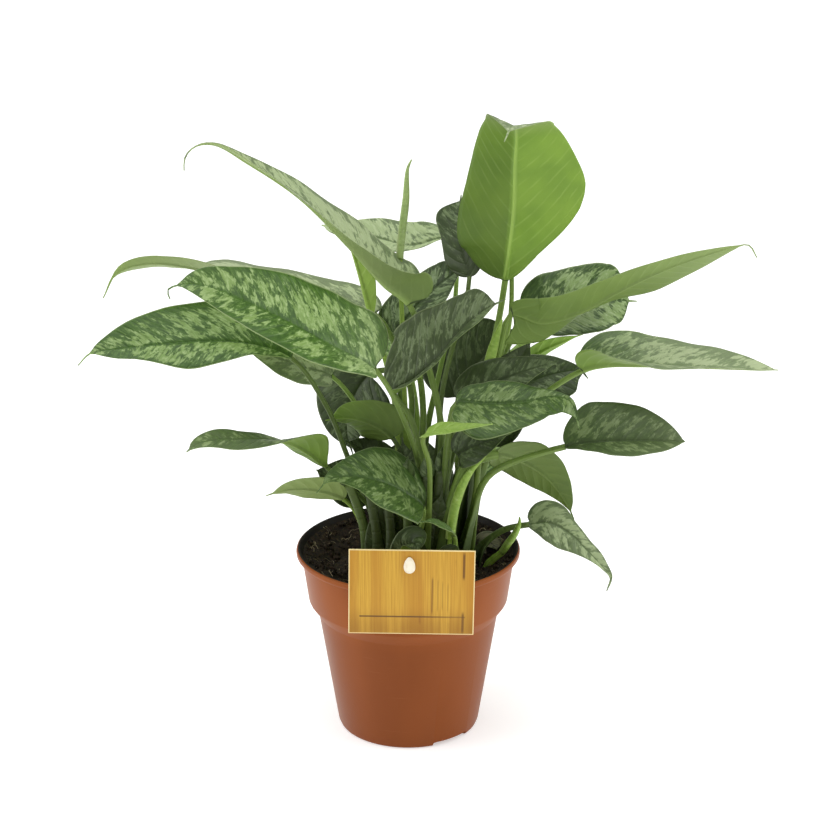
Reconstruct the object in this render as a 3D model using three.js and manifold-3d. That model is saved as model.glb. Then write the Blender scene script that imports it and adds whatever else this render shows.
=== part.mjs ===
// A variegated aroid house plant in its plastic nursery pot, with a plant label at the rim.
// Units are millimetres, +Z is up, the label faces -Y, and the origin is the centre of the pot's base.

import * as THREE from "three";
import { mergeVertices } from "three/addons/utils/BufferGeometryUtils.js";
import Module from "manifold-3d";

const wasm = await Module();
wasm.setup();

// Driving dimensions of the pot
const POT_HEIGHT = 102;
const LIP_RADIUS = 60;
const LIP_HEIGHT = 4;
const LIP_INNER_RADIUS = 56.6;
const BAND_TOP_RADIUS = 57;
const BAND_BOTTOM_RADIUS = 53.6;
const BAND_HEIGHT = 29;
const STEP_HEIGHT = 7;
const BODY_TOP_RADIUS = 48.6;
const BASE_RADIUS = 38.5;
const BASE_ROUND = 2.5;
const WALL = 1.4;
const FLOOR = 3.4;
const POT_SIDES = 36;
const DRAIN_RADIUS = 4;
const DRAIN_CIRCLE = 25;
const DRAIN_COUNT = 6;
const NOTCH_HEIGHT = 2.6;
const NOTCH_DEPTH = 4;
const NOTCH_ANGLES = [-52.5, 127.5];
const NOTCH_SPAN = 37;

// The lip's rounded edge from below to the top, as steps in from its radius and up from its underside
const LIP_EDGE = [[0.6, 0.4], [0, 1.8], [1.6, LIP_HEIGHT]];

// Driving dimensions of the soil
const SOIL_TOP = 90;
const SOIL_UNEVEN = 1.1;
const SEAT_GAP = 0.3;
const ROOT_DEPTH = 9;

// Flat sides of each stem's hole, and the rings of points on the soil's top as shares of its radius
const HOLE_SIDES = 6;
const SOIL_RINGS = [1, 0.7, 0.4, 0];

// Driving dimensions of the plant label
const CARD_WIDTH = 64;
const CARD_HEIGHT = 46.5;
const CARD_THICK = 0.8;
const CARD_CENTRE_X = 2;
const CARD_TOP = 125;
const CARD_BACK_Y = -60.5;
const STAKE_HEAD = { width: 5.8, height: 9, thick: 1.2 };
const STAKE_PEG = { width: 2.8, height: 5 };
const STAKE_LEG = { width: 5, thick: 1.2, bottom: 72 };
const STAKE_X = -0.5;
const STAKE_Z = 117;
const STAKE_LEG_Y = -50;

// Driving dimensions of the leaves
const BLADE_THICK = 0.8;
const RIB_DEPTH_BASE = 2.6;
const RIB_DEPTH_TIP = 0.6;
const TIP_HALF_WIDTH = 0.55;
const DRIP_TIP = 0.08;
const LOBE = 0.35;
const PEAK = 0.32;
const COLUMNS = [-1, -0.5, 0, 0.5, 1];
const STATIONS_BROAD = [0.03, 0.1, 0.2, 0.32, 0.45, 0.58, 0.7, 0.81, 0.92, 1];
const STATIONS_SMALL = [0.05, 0.18, 0.35, 0.53, 0.71, 0.92, 1];
const STATIONS_ROLLED = [0.3, 0.6, 0.85, 1];
const STEM_STEPS_BROAD = 5;
const STEM_STEPS_SMALL = 4;

const COLOURS = {
  terracotta: 0x9c5a34,
  peat: 0x2b211b,
  board: 0xc99d42,
  cream: 0xefe6cf,
  leafGreen: 0x4b7a38,
  leafPale: 0x86a868,
  leafShade: 0x3a5a35,
  leafYoung: 0xa5c95a,
  leafOld: 0x4a4a32,
};

// Every leaf: where its stem leaves the soil, the route of the stem up to the blade, the route of the
// rib on to the drip tip, and the way the upper side faces from the joint to the tip. half is half the
// blade's width, fold is how far each side lifts off the flat, in degrees, from the joint to the tip,
// curl is the further turn of each side out to its margin, and wave is the height of the margin's waves.
// Where it is given, skew moves one margin forward and the other back as a share of the width, lobe is how
// far the two sides reach back past the joint, peak is where on its length the blade is widest, and drip is
// how much of it is the thin drip tip. right and left give each side a width of its own, as shares of the
// usual one at even steps from the joint to the tip: no leaf has two equal halves.
const LEAVES = [
  {
    name: "leaf_upper_left_long",
    broad: true,
    root: [12, -4],
    stem: [[17, -4, 150], [17, -4, 175], [11, -5, 203], [1, -7, 238]],
    rib: [
      [-11, -10, 252], [-29, -16, 274], [-53, -23, 299.5], [-77, -30, 317.3],
      [-93, -35, 326.2], [-102, -38, 326], [-107, -41, 321], [-107.5, -42, 315],
    ],
    face: [[0.7, -0.05, 0.7], [0.62, 0.06, 0.8], [0.6, 0.1, 0.8], [0.4, 0.1, 0.9]],
    half: 20,
    fold: [60, 28, 13, 13, 15],
    curl: 0,
    wave: 1.5,
    right: [1.6, 1.1, 0.95, 1.1, 1.1, 1.05, 0.8, 0.6, 0.45, 0.6, 1],
    colour: "leafPale",
  },
  {
    name: "leaf_left_twisted",
    broad: true,
    root: [-5, 8],
    stem: [[-1, 9, 150], [2, 10, 183], [-7, 13, 211], [-17, 16, 226]],
    rib: [
      [-41, 14, 233], [-64, 9, 241], [-86, 3, 249], [-108, -3, 256],
      [-131, -8, 260], [-147, -12, 256], [-154, -16, 244],
    ],
    face: [[0.2, 0, 0.95], [0.15, 0, 1], [0.1, 0.15, 1], [-0.1, 0.65, 0.7], [-0.2, 0.6, 0.7]],
    half: 19,
    fold: [12, 12],
    curl: 0,
    wave: 1.5,
    left: [1, 1, 1, 1, 1, 1, 1, 0.7, 0.65, 1.8, 3],
    right: [2, 1.6, 1.5, 1.6, 1.6, 2.1, 2, 1.4, 1.3, 3, 3],
    colour: "leafPale",
  },
  {
    name: "leaf_left_broad",
    broad: true,
    root: [5, -17],
    stem: [[9, -18, 120], [7, -19, 148], [1, -29, 176], [-16, -47, 216]],
    rib: [
      [-35, -58, 231], [-56, -70, 247], [-77, -80, 261], [-94, -88, 270],
      [-105, -93, 272], [-111, -95, 270], [-110, -96, 266],
    ],
    face: [[0.3, -0.4, 0.85], [0.25, -0.6, 0.75], [0.25, -0.65, 0.75]],
    half: 27,
    fold: [14, 10],
    curl: -8,
    wave: 1.5,
    skew: -0.2,
    lobe: 0.35,
    right: [2, 1.4, 1.2, 1.15, 1.1, 1.1, 1.1, 1.15, 1.25, 2.2, 2],
    left: [0.8, 0.6, 0.7, 0.8, 0.75, 0.7, 0.8, 1, 1.3, 1.7, 1.5],
    colour: "leafGreen",
  },
  {
    name: "leaf_left_low_long",
    broad: true,
    root: [-13, -4],
    stem: [[-18, -6, 118], [-30, -10, 152], [-42, -17, 187], [-59, -22, 214]],
    rib: [
      [-80, -26, 223], [-102, -32, 226], [-125, -38, 226],
      [-143, -42, 225], [-157, -46.5, 224], [-163, -48.5, 218.5],
    ],
    face: [[0, -0.35, 0.95], [0, -0.5, 0.85], [0, -0.65, 0.75]],
    half: 25,
    fold: [25, 12, 8],
    curl: -8,
    wave: 2,
    skew: 0.2,
    peak: 0.4,
    left: [0.4, 0.55, 0.6, 0.65, 0.7, 0.85, 0.85, 0.65, 0.75, 1.4, 2],
    right: [2, 1.7, 1.2, 1.05, 1.05, 1, 0.97, 1, 1.12, 1.3, 1.6],
    colour: "leafGreen",
  },
  {
    name: "leaf_left_pale",
    root: [-13, 5],
    stem: [[-16, 6, 130], [-23, 8, 170], [-40, 7, 195]],
    rib: [[-56, 5, 201], [-72, 2, 208], [-90, 0, 215]],
    face: [[0.2, -0.4, 0.9], [0, -0.4, 0.9]],
    half: 16,
    fold: [15, 10],
    curl: -10,
    wave: 1,
    colour: "leafPale",
  },
  {
    name: "leaf_left_shaded",
    broad: true,
    root: [-11, 13],
    stem: [[-7, 14, 130], [-3, 18, 175], [-9, 20, 194], [-20, 22, 191]],
    rib: [[-29, 24, 178], [-33, 24, 160], [-30, 24, 145]],
    face: [[-0.2, -0.8, 0.4], [-0.3, -0.9, 0.1], [-0.2, -1, -0.2]],
    half: 22,
    fold: [10, 8],
    curl: -10,
    wave: 1,
    colour: "leafShade",
  },
  {
    name: "leaf_left_inner",
    root: [-4, -11],
    stem: [[0, -9, 120], [0, -8, 143], [-8, -8, 166]],
    rib: [[-19, -8, 174], [-31, -7, 177], [-43, -6, 175]],
    face: [[0.3, 0.8, 0.5], [0.3, 0.8, 0.5]],
    half: 18,
    fold: [10, 12],
    curl: 0,
    wave: 1,
    lobe: 0.1,
    colour: "leafGreen",
  },
  {
    name: "leaf_front_low",
    broad: true,
    root: [-2, -21],
    stem: [[1, -25, 108], [3, -31, 124], [2, -36, 139]],
    rib: [[-11, -45, 160], [-29, -56, 166], [-39, -62, 164], [-45, -67, 158]],
    face: [[0.4, -0.5, 0.8], [0.1, -0.5, 0.9], [-0.3, -0.4, 0.9]],
    half: 20,
    fold: [15, 12],
    curl: -10,
    wave: 1.5,
    lobe: 0.1,
    colour: "leafGreen",
  },
  {
    name: "leaf_left_small_twisted",
    root: [-16, -11],
    stem: [[-17, -14, 125], [-30, -16, 141], [-42, -20, 154]],
    rib: [
      [-51, -25, 164], [-61, -29, 171], [-72, -33, 174], [-85, -38, 176],
      [-97, -42, 177], [-106, -46, 176], [-111, -49, 173],
    ],
    face: [[0.2, 0.75, 0.65], [0.1, 0.6, 0.8], [0, 0, 1], [-0.1, -0.4, 0.9], [-0.1, -0.5, 0.9]],
    half: 12,
    fold: [5, 10, 15],
    curl: 0,
    wave: 1,
    peak: 0.45,
    drip: 0.02,
    left: [0.7, 0.9, 1.8, 2.3, 1.8, 1.1, 1.4, 1.5, 1.5, 1.7, 2],
    right: [1, 1, 1, 1, 1, 0.6, 0.5, 0.6, 1, 1.3, 2],
    colour: "leafGreen",
  },
  {
    name: "leaf_centre_folded",
    broad: true,
    root: [9, -10],
    stem: [[11, -13, 130], [6, -15, 163], [0, -17, 183], [-7, -18, 194]],
    rib: [[4, -20, 203], [14, -22, 213], [27, -25, 230], [39, -27, 241], [49, -29, 247]],
    face: [[-0.6, -0.4, 0.7], [-0.5, -0.5, 0.7], [-0.4, -0.5, 0.7]],
    half: 25,
    fold: [45, 30, 20],
    curl: 0,
    wave: 1,
    skew: -0.2,
    lobe: 0.1,
    peak: 0.4,
    right: [0.6, 1, 0.6, 0.35, 0.25, 0.2, 0.4, 0.7, 1, 2, 2],
    left: [1.3, 1.3, 1.15, 1.05, 1, 1, 0.9, 1, 1.3, 2.7, 2],
    colour: "leafShade",
  },
  {
    name: "leaf_centre_back",
    broad: true,
    root: [3, -3],
    stem: [[6, 2, 140], [8, 10, 176], [4, 17, 200], [-5, 20, 213]],
    rib: [[1, 23, 224], [12, 25, 236], [22, 29, 243], [32, 32, 250]],
    face: [[-0.4, -0.6, 0.7], [-0.4, -0.6, 0.7]],
    half: 19,
    fold: [12, 12],
    curl: 0,
    wave: 1,
    left: [1, 1, 0.87, 0.81, 0.82, 0.87, 0.95, 1.15, 1.6, 3, 2],
    colour: "leafShade",
  },
  {
    name: "leaf_back_pale",
    root: [6, 12],
    stem: [[8, 15, 150], [17, 28, 192], [25, 40, 226], [25, 46, 244], [19, 51, 252]],
    rib: [[-1, 54, 255], [-23, 60, 258], [-45, 66, 264]],
    face: [[0.1, -0.5, 0.8], [0, -0.5, 0.8]],
    half: 14,
    fold: [15, 12],
    curl: -5,
    wave: 1,
    left: [0.4, 0.45, 0.6, 0.8, 1, 1],
    right: [1, 1.1, 1.1, 1.1, 1, 1],
    colour: "leafPale",
  },
  {
    name: "leaf_young_narrow",
    root: [-4, -4],
    stem: [[-5, 0, 140], [-7, 3, 181], [-14, 2, 214], [-19, -2, 231]],
    rib: [[-21, -2, 239], [-24, -3, 251], [-28, -3, 265], [-32, -3, 276]],
    face: [[0.75, 0.62, 0.2], [0.75, 0.62, 0.2]],
    half: 9,
    fold: [35, 35],
    curl: 20,
    wave: 0,
    left: [0.4, 0.5, 0.6, 0.7, 0.85, 1, 1, 1, 1, 1, 1],
    colour: "leafYoung",
  },
  {
    name: "leaf_rolled_tall",
    rolled: true,
    root: [1, 4],
    stem: [[0, 4, 140], [-2, 4, 190], [-3, 6, 227], [-4, 11, 257]],
    rib: [[-3, 14, 269], [-1, 14, 288], [0, 14, 304], [2, 13, 309]],
    face: [[0, -1, 0]],
    half: 2.4,
    colour: "leafYoung",
  },
  {
    name: "leaf_tall_upright",
    broad: true,
    root: [28, 3],
    stem: [[32, 1, 145], [41, 4, 197], [47, 6, 225], [50, 0, 249]],
    rib: [[52, -3, 266], [54, 0, 286], [54, -3, 309], [54, -12, 328.5], [51, -24, 333], [47, -36, 328]],
    face: [[0.3, 0.95, 0.1], [0.4, 0.9, 0], [0.4, 0.85, 0.3], [0.1, 0, 1], [0, -0.4, 0.9]],
    half: 34.5,
    fold: [17, 17, 12],
    curl: 0,
    wave: 1.5,
    skew: -0.12,
    lobe: 0.25,
    peak: 0.46,
    right: [1.6, 1.25, 1.15, 1.15, 0.95, 0.9, 0.85, 0.92, 1.05, 1.3, 1],
    left: [0.6, 0.55, 0.7, 0.93, 1.05, 1.05, 1.04, 1, 1.05, 1.5, 1],
    colour: "leafGreen",
  },
  {
    name: "leaf_tall_shaded",
    root: [14, 5],
    stem: [[16, 4, 150], [18, 5, 187], [23, 6, 210], [29, 9, 231], [32, 14, 247]],
    rib: [[29, 22, 257], [24, 32, 268], [20, 43, 278.5]],
    face: [[-0.5, -0.6, 0.6], [-0.4, -0.7, 0.6]],
    half: 17,
    fold: [12, 12],
    curl: 0,
    wave: 1,
    peak: 0.45,
    left: [0.8, 0.7, 0.65, 0.65, 0.6, 0.6, 0.65, 0.75, 1.3, 2.8, 2],
    colour: "leafShade",
  },
  {
    name: "leaf_right_long",
    broad: true,
    root: [25, -6],
    stem: [[31, -6, 150], [42, -7, 192], [48, -9, 217], [53, -13, 235]],
    rib: [
      [68, -14, 231], [88, -17, 237], [105, -20, 248], [126, -24, 260],
      [147, -27, 269], [162, -29, 274], [169, -30, 275], [173, -31, 269],
    ],
    face: [[0, 0.87, 0.5], [0, 0.58, 0.82], [0, 0.65, 0.75], [0, 0.75, 0.65]],
    half: 17,
    fold: [-6, 6, -3, -8],
    curl: 0,
    wave: 1,
    peak: 0.22,
    left: [2, 2.3, 0.9, 0.3, 0.6, 1.25, 1.45, 1.7, 1.9, 2.2, 2],
    colour: "leafGreen",
  },
  {
    name: "leaf_right_broad",
    broad: true,
    root: [25, 11],
    stem: [[31, 11, 140], [40, 11, 170], [49, 13, 202], [63, 22, 222]],
    rib: [[80, 27, 227], [102, 32, 229], [125, 36, 229]],
    face: [[-0.1, -0.75, 0.65], [-0.1, -0.75, 0.65]],
    half: 21,
    fold: [12, 10],
    curl: -5,
    wave: 1.5,
    peak: 0.45,
    left: [1.1, 1.2, 1.1, 1, 0.95, 1.05, 1.2, 1.5, 2.2, 4, 4],
    right: [1.7, 1.1, 1, 0.9, 0.9, 0.95, 1.1, 1.3, 1.6, 3.2, 3],
    colour: "leafPale",
  },
  {
    name: "leaf_right_strip",
    root: [31, 8],
    stem: [[37, 10, 140], [49, 14, 177], [63, 16, 200]],
    rib: [[72, 16, 207], [83, 16, 212], [92, 17, 215]],
    face: [[0, 0.7, 0.7], [0, 0.7, 0.7]],
    half: 7,
    fold: [10, 10],
    curl: 0,
    wave: 0,
    colour: "leafPale",
  },
  {
    name: "leaf_right_level",
    broad: true,
    root: [32, -8],
    stem: [[38, -7, 140], [45, -11, 166], [58, -15, 183], [89, -20, 207]],
    rib: [[100, -24, 211], [117, -30, 213], [142, -36, 214], [163, -42, 215], [184, -48, 216]],
    face: [[0, 0, 1], [0, 0, 1]],
    half: 24,
    fold: [58, 30, 18, 16, 16],
    curl: -10,
    wave: 1.5,
    peak: 0.34,
    lobe: 0.2,
    drip: 0.02,
    left: [1.1, 1.1, 1, 1, 1.1, 1.25, 1.3, 1.3, 1.3, 1.35, 1.5],
    colour: "leafGreen",
  },
  {
    name: "leaf_right_olive",
    root: [34, -2],
    stem: [[36, -2, 130], [38, -2, 160], [48, 0, 184]],
    rib: [[64, 0, 194], [79, 0, 199], [90, 0, 200], [94, 0, 196]],
    face: [[-0.2, -0.7, 0.7], [0, -0.7, 0.7]],
    half: 16,
    fold: [12, 10],
    curl: -5,
    wave: 0.5,
    right: [1, 1, 1, 1, 1, 1.1, 1.5, 2, 2.5, 5, 3],
    colour: "leafShade",
  },
  {
    name: "leaf_front_right",
    broad: true,
    root: [16, -18],
    stem: [[18, -21, 130], [19, -26, 155], [21, -32, 180], [25, -37, 195]],
    rib: [[41, -41, 196], [59, -44, 198], [73, -47, 202], [81, -49, 200], [86, -51, 186]],
    face: [[0.1, -0.5, 0.8], [0, -0.5, 0.8], [0.3, -0.5, 0.6]],
    half: 19,
    fold: [18, 14, 12],
    curl: -10,
    wave: 1.5,
    peak: 0.42,
    right: [1.5, 1.6, 1.7, 1.45, 1.05, 1, 1, 1.25, 1.6, 1.5, 1],
    left: [1, 0.8, 0.7, 0.7, 0.7, 0.6, 0.4, 0.2, 0.2, 0.2, 1],
    colour: "leafGreen",
  },
  {
    name: "leaf_front_dark",
    root: [18, -11],
    stem: [[20, -14, 140], [23, -14, 172], [27, -20, 190]],
    rib: [[40, -23, 199], [57, -25, 207], [70, -27, 212], [75, -28, 213], [77, -28, 209]],
    face: [[-0.2, -0.6, 0.7], [-0.2, -0.6, 0.7]],
    half: 14,
    fold: [12, 12],
    curl: -5,
    wave: 1,
    colour: "leafShade",
  },
  {
    name: "leaf_front_small",
    root: [10, -24],
    stem: [[13, -32, 130], [15, -48, 165], [13, -58, 186]],
    rib: [[21, -63, 190], [31, -67, 193], [43, -69, 195]],
    face: [[-0.2, 0.1, 1], [0, 0.1, 1]],
    half: 6.5,
    fold: [10, 10],
    curl: 0,
    wave: 0.5,
    colour: "leafYoung",
  },
  {
    name: "leaf_front_shaded",
    root: [23, -17],
    stem: [[26, -20, 147], [26, -24, 162]],
    rib: [[35, -27, 169], [44, -29, 173], [53, -31, 177]],
    face: [[-0.2, -0.6, 0.7], [-0.2, -0.6, 0.7]],
    half: 12,
    fold: [12, 12],
    curl: -5,
    wave: 0.5,
    colour: "leafShade",
  },
  {
    name: "leaf_right_mid",
    broad: true,
    root: [29, -16],
    stem: [[34, -22, 128], [39, -29, 149], [47, -34, 159], [80, -38, 172]],
    rib: [[97, -42, 176], [117, -46, 178], [139, -50, 179]],
    face: [[0, -0.5, 0.85], [0, -0.5, 0.85]],
    half: 22,
    fold: [30, 30],
    curl: -10,
    wave: 1,
    peak: 0.42,
    right: [0.45, 0.4, 0.45, 0.5, 0.65, 0.8, 1, 1.1, 1.2, 1.5, 1.5],
    drip: 0.01,
    left: [1, 1, 1.1, 1, 0.95, 0.95, 1, 1, 1.05, 1.2, 1.5],
    colour: "leafGreen",
  },
  {
    name: "leaf_right_arching",
    broad: true,
    root: [20, -24],
    stem: [[21, -27, 128], [25, -28, 145], [31, -27, 158], [46, -22, 162]],
    rib: [[59, -18, 157], [72, -17, 148], [81, -18, 137], [87, -20, 125]],
    face: [[0.1, 0.85, 0.5], [0.3, 0.85, 0.4], [0.5, 0.8, 0.2]],
    half: 17,
    fold: [8, 8],
    curl: 0,
    wave: 1,
    right: [0.55, 0.7, 0.85, 1, 1, 1, 0.9, 0.9, 0.9, 1.3, 1],
    colour: "leafGreen",
  },
  {
    name: "leaf_right_drooping",
    broad: true,
    root: [38, 4],
    stem: [[41, 7, 99], [50, 8, 107], [65, 5, 112]],
    rib: [[76, 2, 114], [87, -2, 109], [95, -6, 102], [103, -9, 94], [108, -11, 88], [106, -13, 81]],
    face: [[0, -0.5, 0.8], [0.2, -0.6, 0.7], [0.5, -0.6, 0.5]],
    half: 14.5,
    fold: [12, 12],
    curl: -10,
    wave: 1,
    peak: 0.28,
    right: [0.3, 0.6, 0.85, 0.9, 0.9, 0.75, 0.5, 0.45, 0.3, 0.5, 1],
    left: [0.8, 1.05, 0.95, 0.65, 0.5, 0.5, 0.6, 0.7, 0.7, 0.5, 1],
    colour: "leafPale",
  },
  {
    name: "leaf_old_on_soil",
    root: [38, 14],
    stem: [[40, 15, 96]],
    rib: [[43, 15, 98], [46, 12, 97], [48, 8, 96]],
    face: [[0, -0.3, 1], [0.3, -0.3, 0.8]],
    half: 6,
    fold: [5, 5],
    curl: -10,
    wave: 0.5,
    colour: "leafOld",
  },
  {
    name: "leaf_rolled_low",
    rolled: true,
    root: [43, -3],
    stem: [[46, -4, 96], [50, -5, 100]],
    rib: [[53, -6, 105], [56, -7, 110], [58, -8, 115], [59, -9, 119], [59, -9, 122]],
    face: [[0, -1, 0]],
    half: 2,
    colour: "leafYoung",
  },
  {
    name: "leaf_left_lowest",
    root: [-21, -3],
    stem: [[-23, -8, 108], [-27, -12, 125], [-34, -16, 135]],
    rib: [[-47, -22, 142], [-61, -28, 145], [-73, -32, 143]],
    face: [[0, 0.75, 0.65], [0, 0.75, 0.65]],
    half: 12.5,
    fold: [8, 8],
    curl: 0,
    wave: 0.5,
    peak: 0.45,
    colour: "leafYoung",
  },
  {
    name: "leaf_left_hidden",
    root: [-19, 5],
    stem: [[-18, 5, 106], [-21, 6, 124]],
    rib: [[-31, 6, 134], [-41, 6, 139], [-49, 6, 143]],
    face: [[0, -0.5, 0.8], [0, -0.5, 0.8]],
    half: 15,
    fold: [10, 10],
    curl: -10,
    wave: 0.5,
    peak: 0.5,
    drip: 0.02,
    colour: "leafShade",
  },
  {
    name: "leaf_front_tiny",
    root: [25, -25],
    stem: [[25, -28, 108], [24, -34, 122]],
    rib: [[19, -39, 129], [12, -43, 133], [6, -46, 134]],
    face: [[0.4, -0.2, 0.9], [0.2, -0.2, 0.9]],
    half: 6,
    fold: [10, 10],
    curl: -10,
    wave: 0.5,
    colour: "leafGreen",
  },
  {
    name: "leaf_centre_shaded",
    broad: true,
    root: [18, 12],
    stem: [[20, 15, 130], [27, 24, 158], [27, 28, 176]],
    rib: [[33, 31, 189], [45, 35, 202], [59, 40, 213]],
    face: [[-0.5, -0.8, 0.4], [-0.4, -0.8, 0.4]],
    half: 22,
    fold: [8, 8],
    curl: -5,
    wave: 1,
    left: [1, 1.2, 1.4, 1.4, 1.3, 1.25, 1.25, 1.5, 2.2, 3, 2],
    colour: "leafShade",
  },
  {
    name: "leaf_back_tall",
    root: [20, 5],
    stem: [[28, 7, 145], [43, 9, 190], [53, 12, 222], [54, 19, 240]],
    rib: [[52, 34, 263], [56, 50, 281], [62, 68, 288]],
    face: [[0, -0.6, 0.8], [0, -0.4, 0.9]],
    half: 15,
    fold: [15, 12],
    curl: -5,
    wave: 1,
    colour: "leafGreen",
  },
  {
    name: "leaf_back_high",
    broad: true,
    root: [17, 20],
    stem: [[20, 27, 135], [42, 44, 180], [60, 56, 196], [71, 62, 203]],
    rib: [[86, 84, 212], [95, 106, 212], [102, 124, 204]],
    face: [[-0.1, -0.2, 1], [0, 0.1, 1]],
    half: 22,
    fold: [15, 12],
    curl: -10,
    wave: 1.5,
    colour: "leafGreen",
  },
  {
    name: "leaf_back_centre",
    broad: true,
    root: [9, 18],
    stem: [[7, 24, 135], [3, 40, 175], [-1, 52, 190]],
    rib: [[-5, 85, 200], [-8, 115, 194], [-8, 140, 178]],
    face: [[0, 0.1, 1], [0, 0.4, 0.9]],
    half: 21,
    fold: [15, 12],
    curl: -10,
    wave: 1.5,
    colour: "leafGreen",
  },
  {
    name: "leaf_back_left",
    broad: true,
    root: [-4, 15],
    stem: [[-10, 21, 130], [-25, 37, 168], [-36, 50, 188]],
    rib: [[-60, 68, 205], [-85, 85, 210], [-108, 100, 202]],
    face: [[0, 0, 1], [-0.2, 0.2, 1]],
    half: 20,
    fold: [15, 12],
    curl: -10,
    wave: 1.5,
    colour: "leafGreen",
  },
  {
    name: "leaf_back_left_low",
    root: [-5, 21],
    stem: [[-10, 29, 118], [-22, 42, 138], [-30, 52, 147]],
    rib: [[-35, 72, 151], [-38, 95, 145], [-38, 118, 130]],
    face: [[0, 0, 1], [0, 0.5, 0.9]],
    half: 16,
    fold: [15, 12],
    curl: -10,
    wave: 1,
    colour: "leafGreen",
  },
  {
    name: "leaf_back_right",
    root: [28, 18],
    stem: [[38, 22, 130], [52, 25, 160], [60, 28, 171]],
    rib: [[74, 42, 179], [84, 56, 177], [90, 66, 168]],
    face: [[0, 0, 1], [0.3, 0.3, 1]],
    half: 13,
    fold: [15, 12],
    curl: -10,
    wave: 1,
    colour: "leafGreen",
  },
  {
    name: "leaf_back_low_right",
    root: [21, 25],
    stem: [[26, 34, 112], [36, 46, 124]],
    rib: [[42, 68, 132], [47, 90, 129], [50, 110, 118]],
    face: [[0, 0, 1], [0.1, 0.5, 0.9]],
    half: 15,
    fold: [15, 12],
    curl: -10,
    wave: 1,
    lobe: 0.1,
    colour: "leafGreen",
  },
  {
    name: "leaf_back_low",
    broad: true,
    root: [4, 26],
    stem: [[3, 36, 100], [3, 44, 104]],
    rib: [[3, 49, 112], [2, 51, 128], [2, 52, 142], [1, 51, 152]],
    face: [[0, -1, 0.1], [0, -1, 0.1]],
    half: 23,
    fold: [8, 8],
    curl: -5,
    wave: 1,
    peak: 0.45,
    lobe: 0.3,
    colour: "leafShade",
  },
];

const radians = THREE.MathUtils.degToRad;
const vector = (p) => new THREE.Vector3(...p);

function toSolid(geometry) {
  const bare = geometry.clone();
  bare.deleteAttribute("normal");
  bare.deleteAttribute("uv");
  const merged = mergeVertices(bare, 1e-4);
  return new wasm.Manifold(
    new wasm.Mesh({
      numProp: 3,
      vertProperties: new Float32Array(merged.attributes.position.array),
      triVerts: new Uint32Array(merged.index.array),
    }),
  );
}

function toGeometry(solid) {
  const mesh = solid.getMesh();
  const geometry = new THREE.BufferGeometry();
  geometry.setAttribute("position", new THREE.BufferAttribute(mesh.vertProperties, 3));
  geometry.setIndex(new THREE.BufferAttribute(mesh.triVerts, 1));
  geometry.computeVertexNormals();
  return geometry;
}

function named(name, geometry, colour, roughness) {
  const material = new THREE.MeshStandardMaterial({ color: COLOURS[colour], roughness, metalness: 0 });
  const mesh = new THREE.Mesh(geometry, material);
  mesh.name = name;
  return mesh;
}

// Reads a list of values spread evenly from the joint to the tip, at the fraction v of the blade.
function spread(values, v) {
  const place = THREE.MathUtils.clamp(v, 0, 1) * (values.length - 1);
  const before = Math.floor(place);
  const after = Math.min(before + 1, values.length - 1);
  return { before: values[before], after: values[after], mix: place - before };
}

function spreadNumber(values, v) {
  const { before, after, mix } = spread(values, v);
  return THREE.MathUtils.lerp(before, after, mix);
}

function spreadVector(values, v) {
  const { before, after, mix } = spread(values, v);
  return vector(before).lerp(vector(after), mix);
}

// How far one side of the blade reaches out from the rib: rounded at the joint, then long and drawn out
// to the drip tip, which is no more than a thread. shares is that side's list of widths.
function sideWidth(leaf, v, shares = [1]) {
  const { peak = PEAK, drip = DRIP_TIP } = leaf;
  const full = Math.min(v / (1 - drip), 1);
  const power = Math.log(0.5) / Math.log(peak);
  const outline = Math.max(Math.sin(Math.PI * full ** power), 0) ** 0.75 * (1 - 0.35 * full ** 6);
  return Math.max(leaf.half * outline * spreadNumber(shares, v), TIP_HALF_WIDTH);
}

// The line that a leaf grows along, with the shares of its length at the soil's top and at the joint.
function spineOf(leaf) {
  const [x, y] = leaf.root;
  const stem = [[x, y, SOIL_TOP - ROOT_DEPTH], [x, y, SOIL_TOP + 2], ...leaf.stem];
  const points = [...stem, ...leaf.rib].map(vector);
  const curve = new THREE.CatmullRomCurve3(points, false, "centripetal");
  const steps = 40;
  curve.arcLengthDivisions = steps * (points.length - 1);
  const lengths = curve.getLengths();
  const joint = lengths[steps * (stem.length - 1)] / lengths.at(-1);
  const soil = lengths[steps] / lengths.at(-1);
  return { curve, joint, soil };
}

function stemRadius(leaf, share) {
  const foot = leaf.broad ? 2.3 : 1.8;
  const joint = leaf.broad ? 1.6 : 1.2;
  return THREE.MathUtils.lerp(foot, joint, share ** 0.6);
}

// A round ring in the plane of side and up, as a row of points over the top and one under the bottom.
function roundRing(count, radius) {
  const top = [];
  const bottom = [];
  for (let i = 0; i < count; i++) {
    const angle = Math.PI * (1 - (i + 0.5) / count);
    top.push([radius * Math.cos(angle), radius * Math.sin(angle), 0]);
    bottom.push([radius * Math.cos(angle), -radius * Math.sin(angle), 0]);
  }
  return { top, bottom };
}

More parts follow.
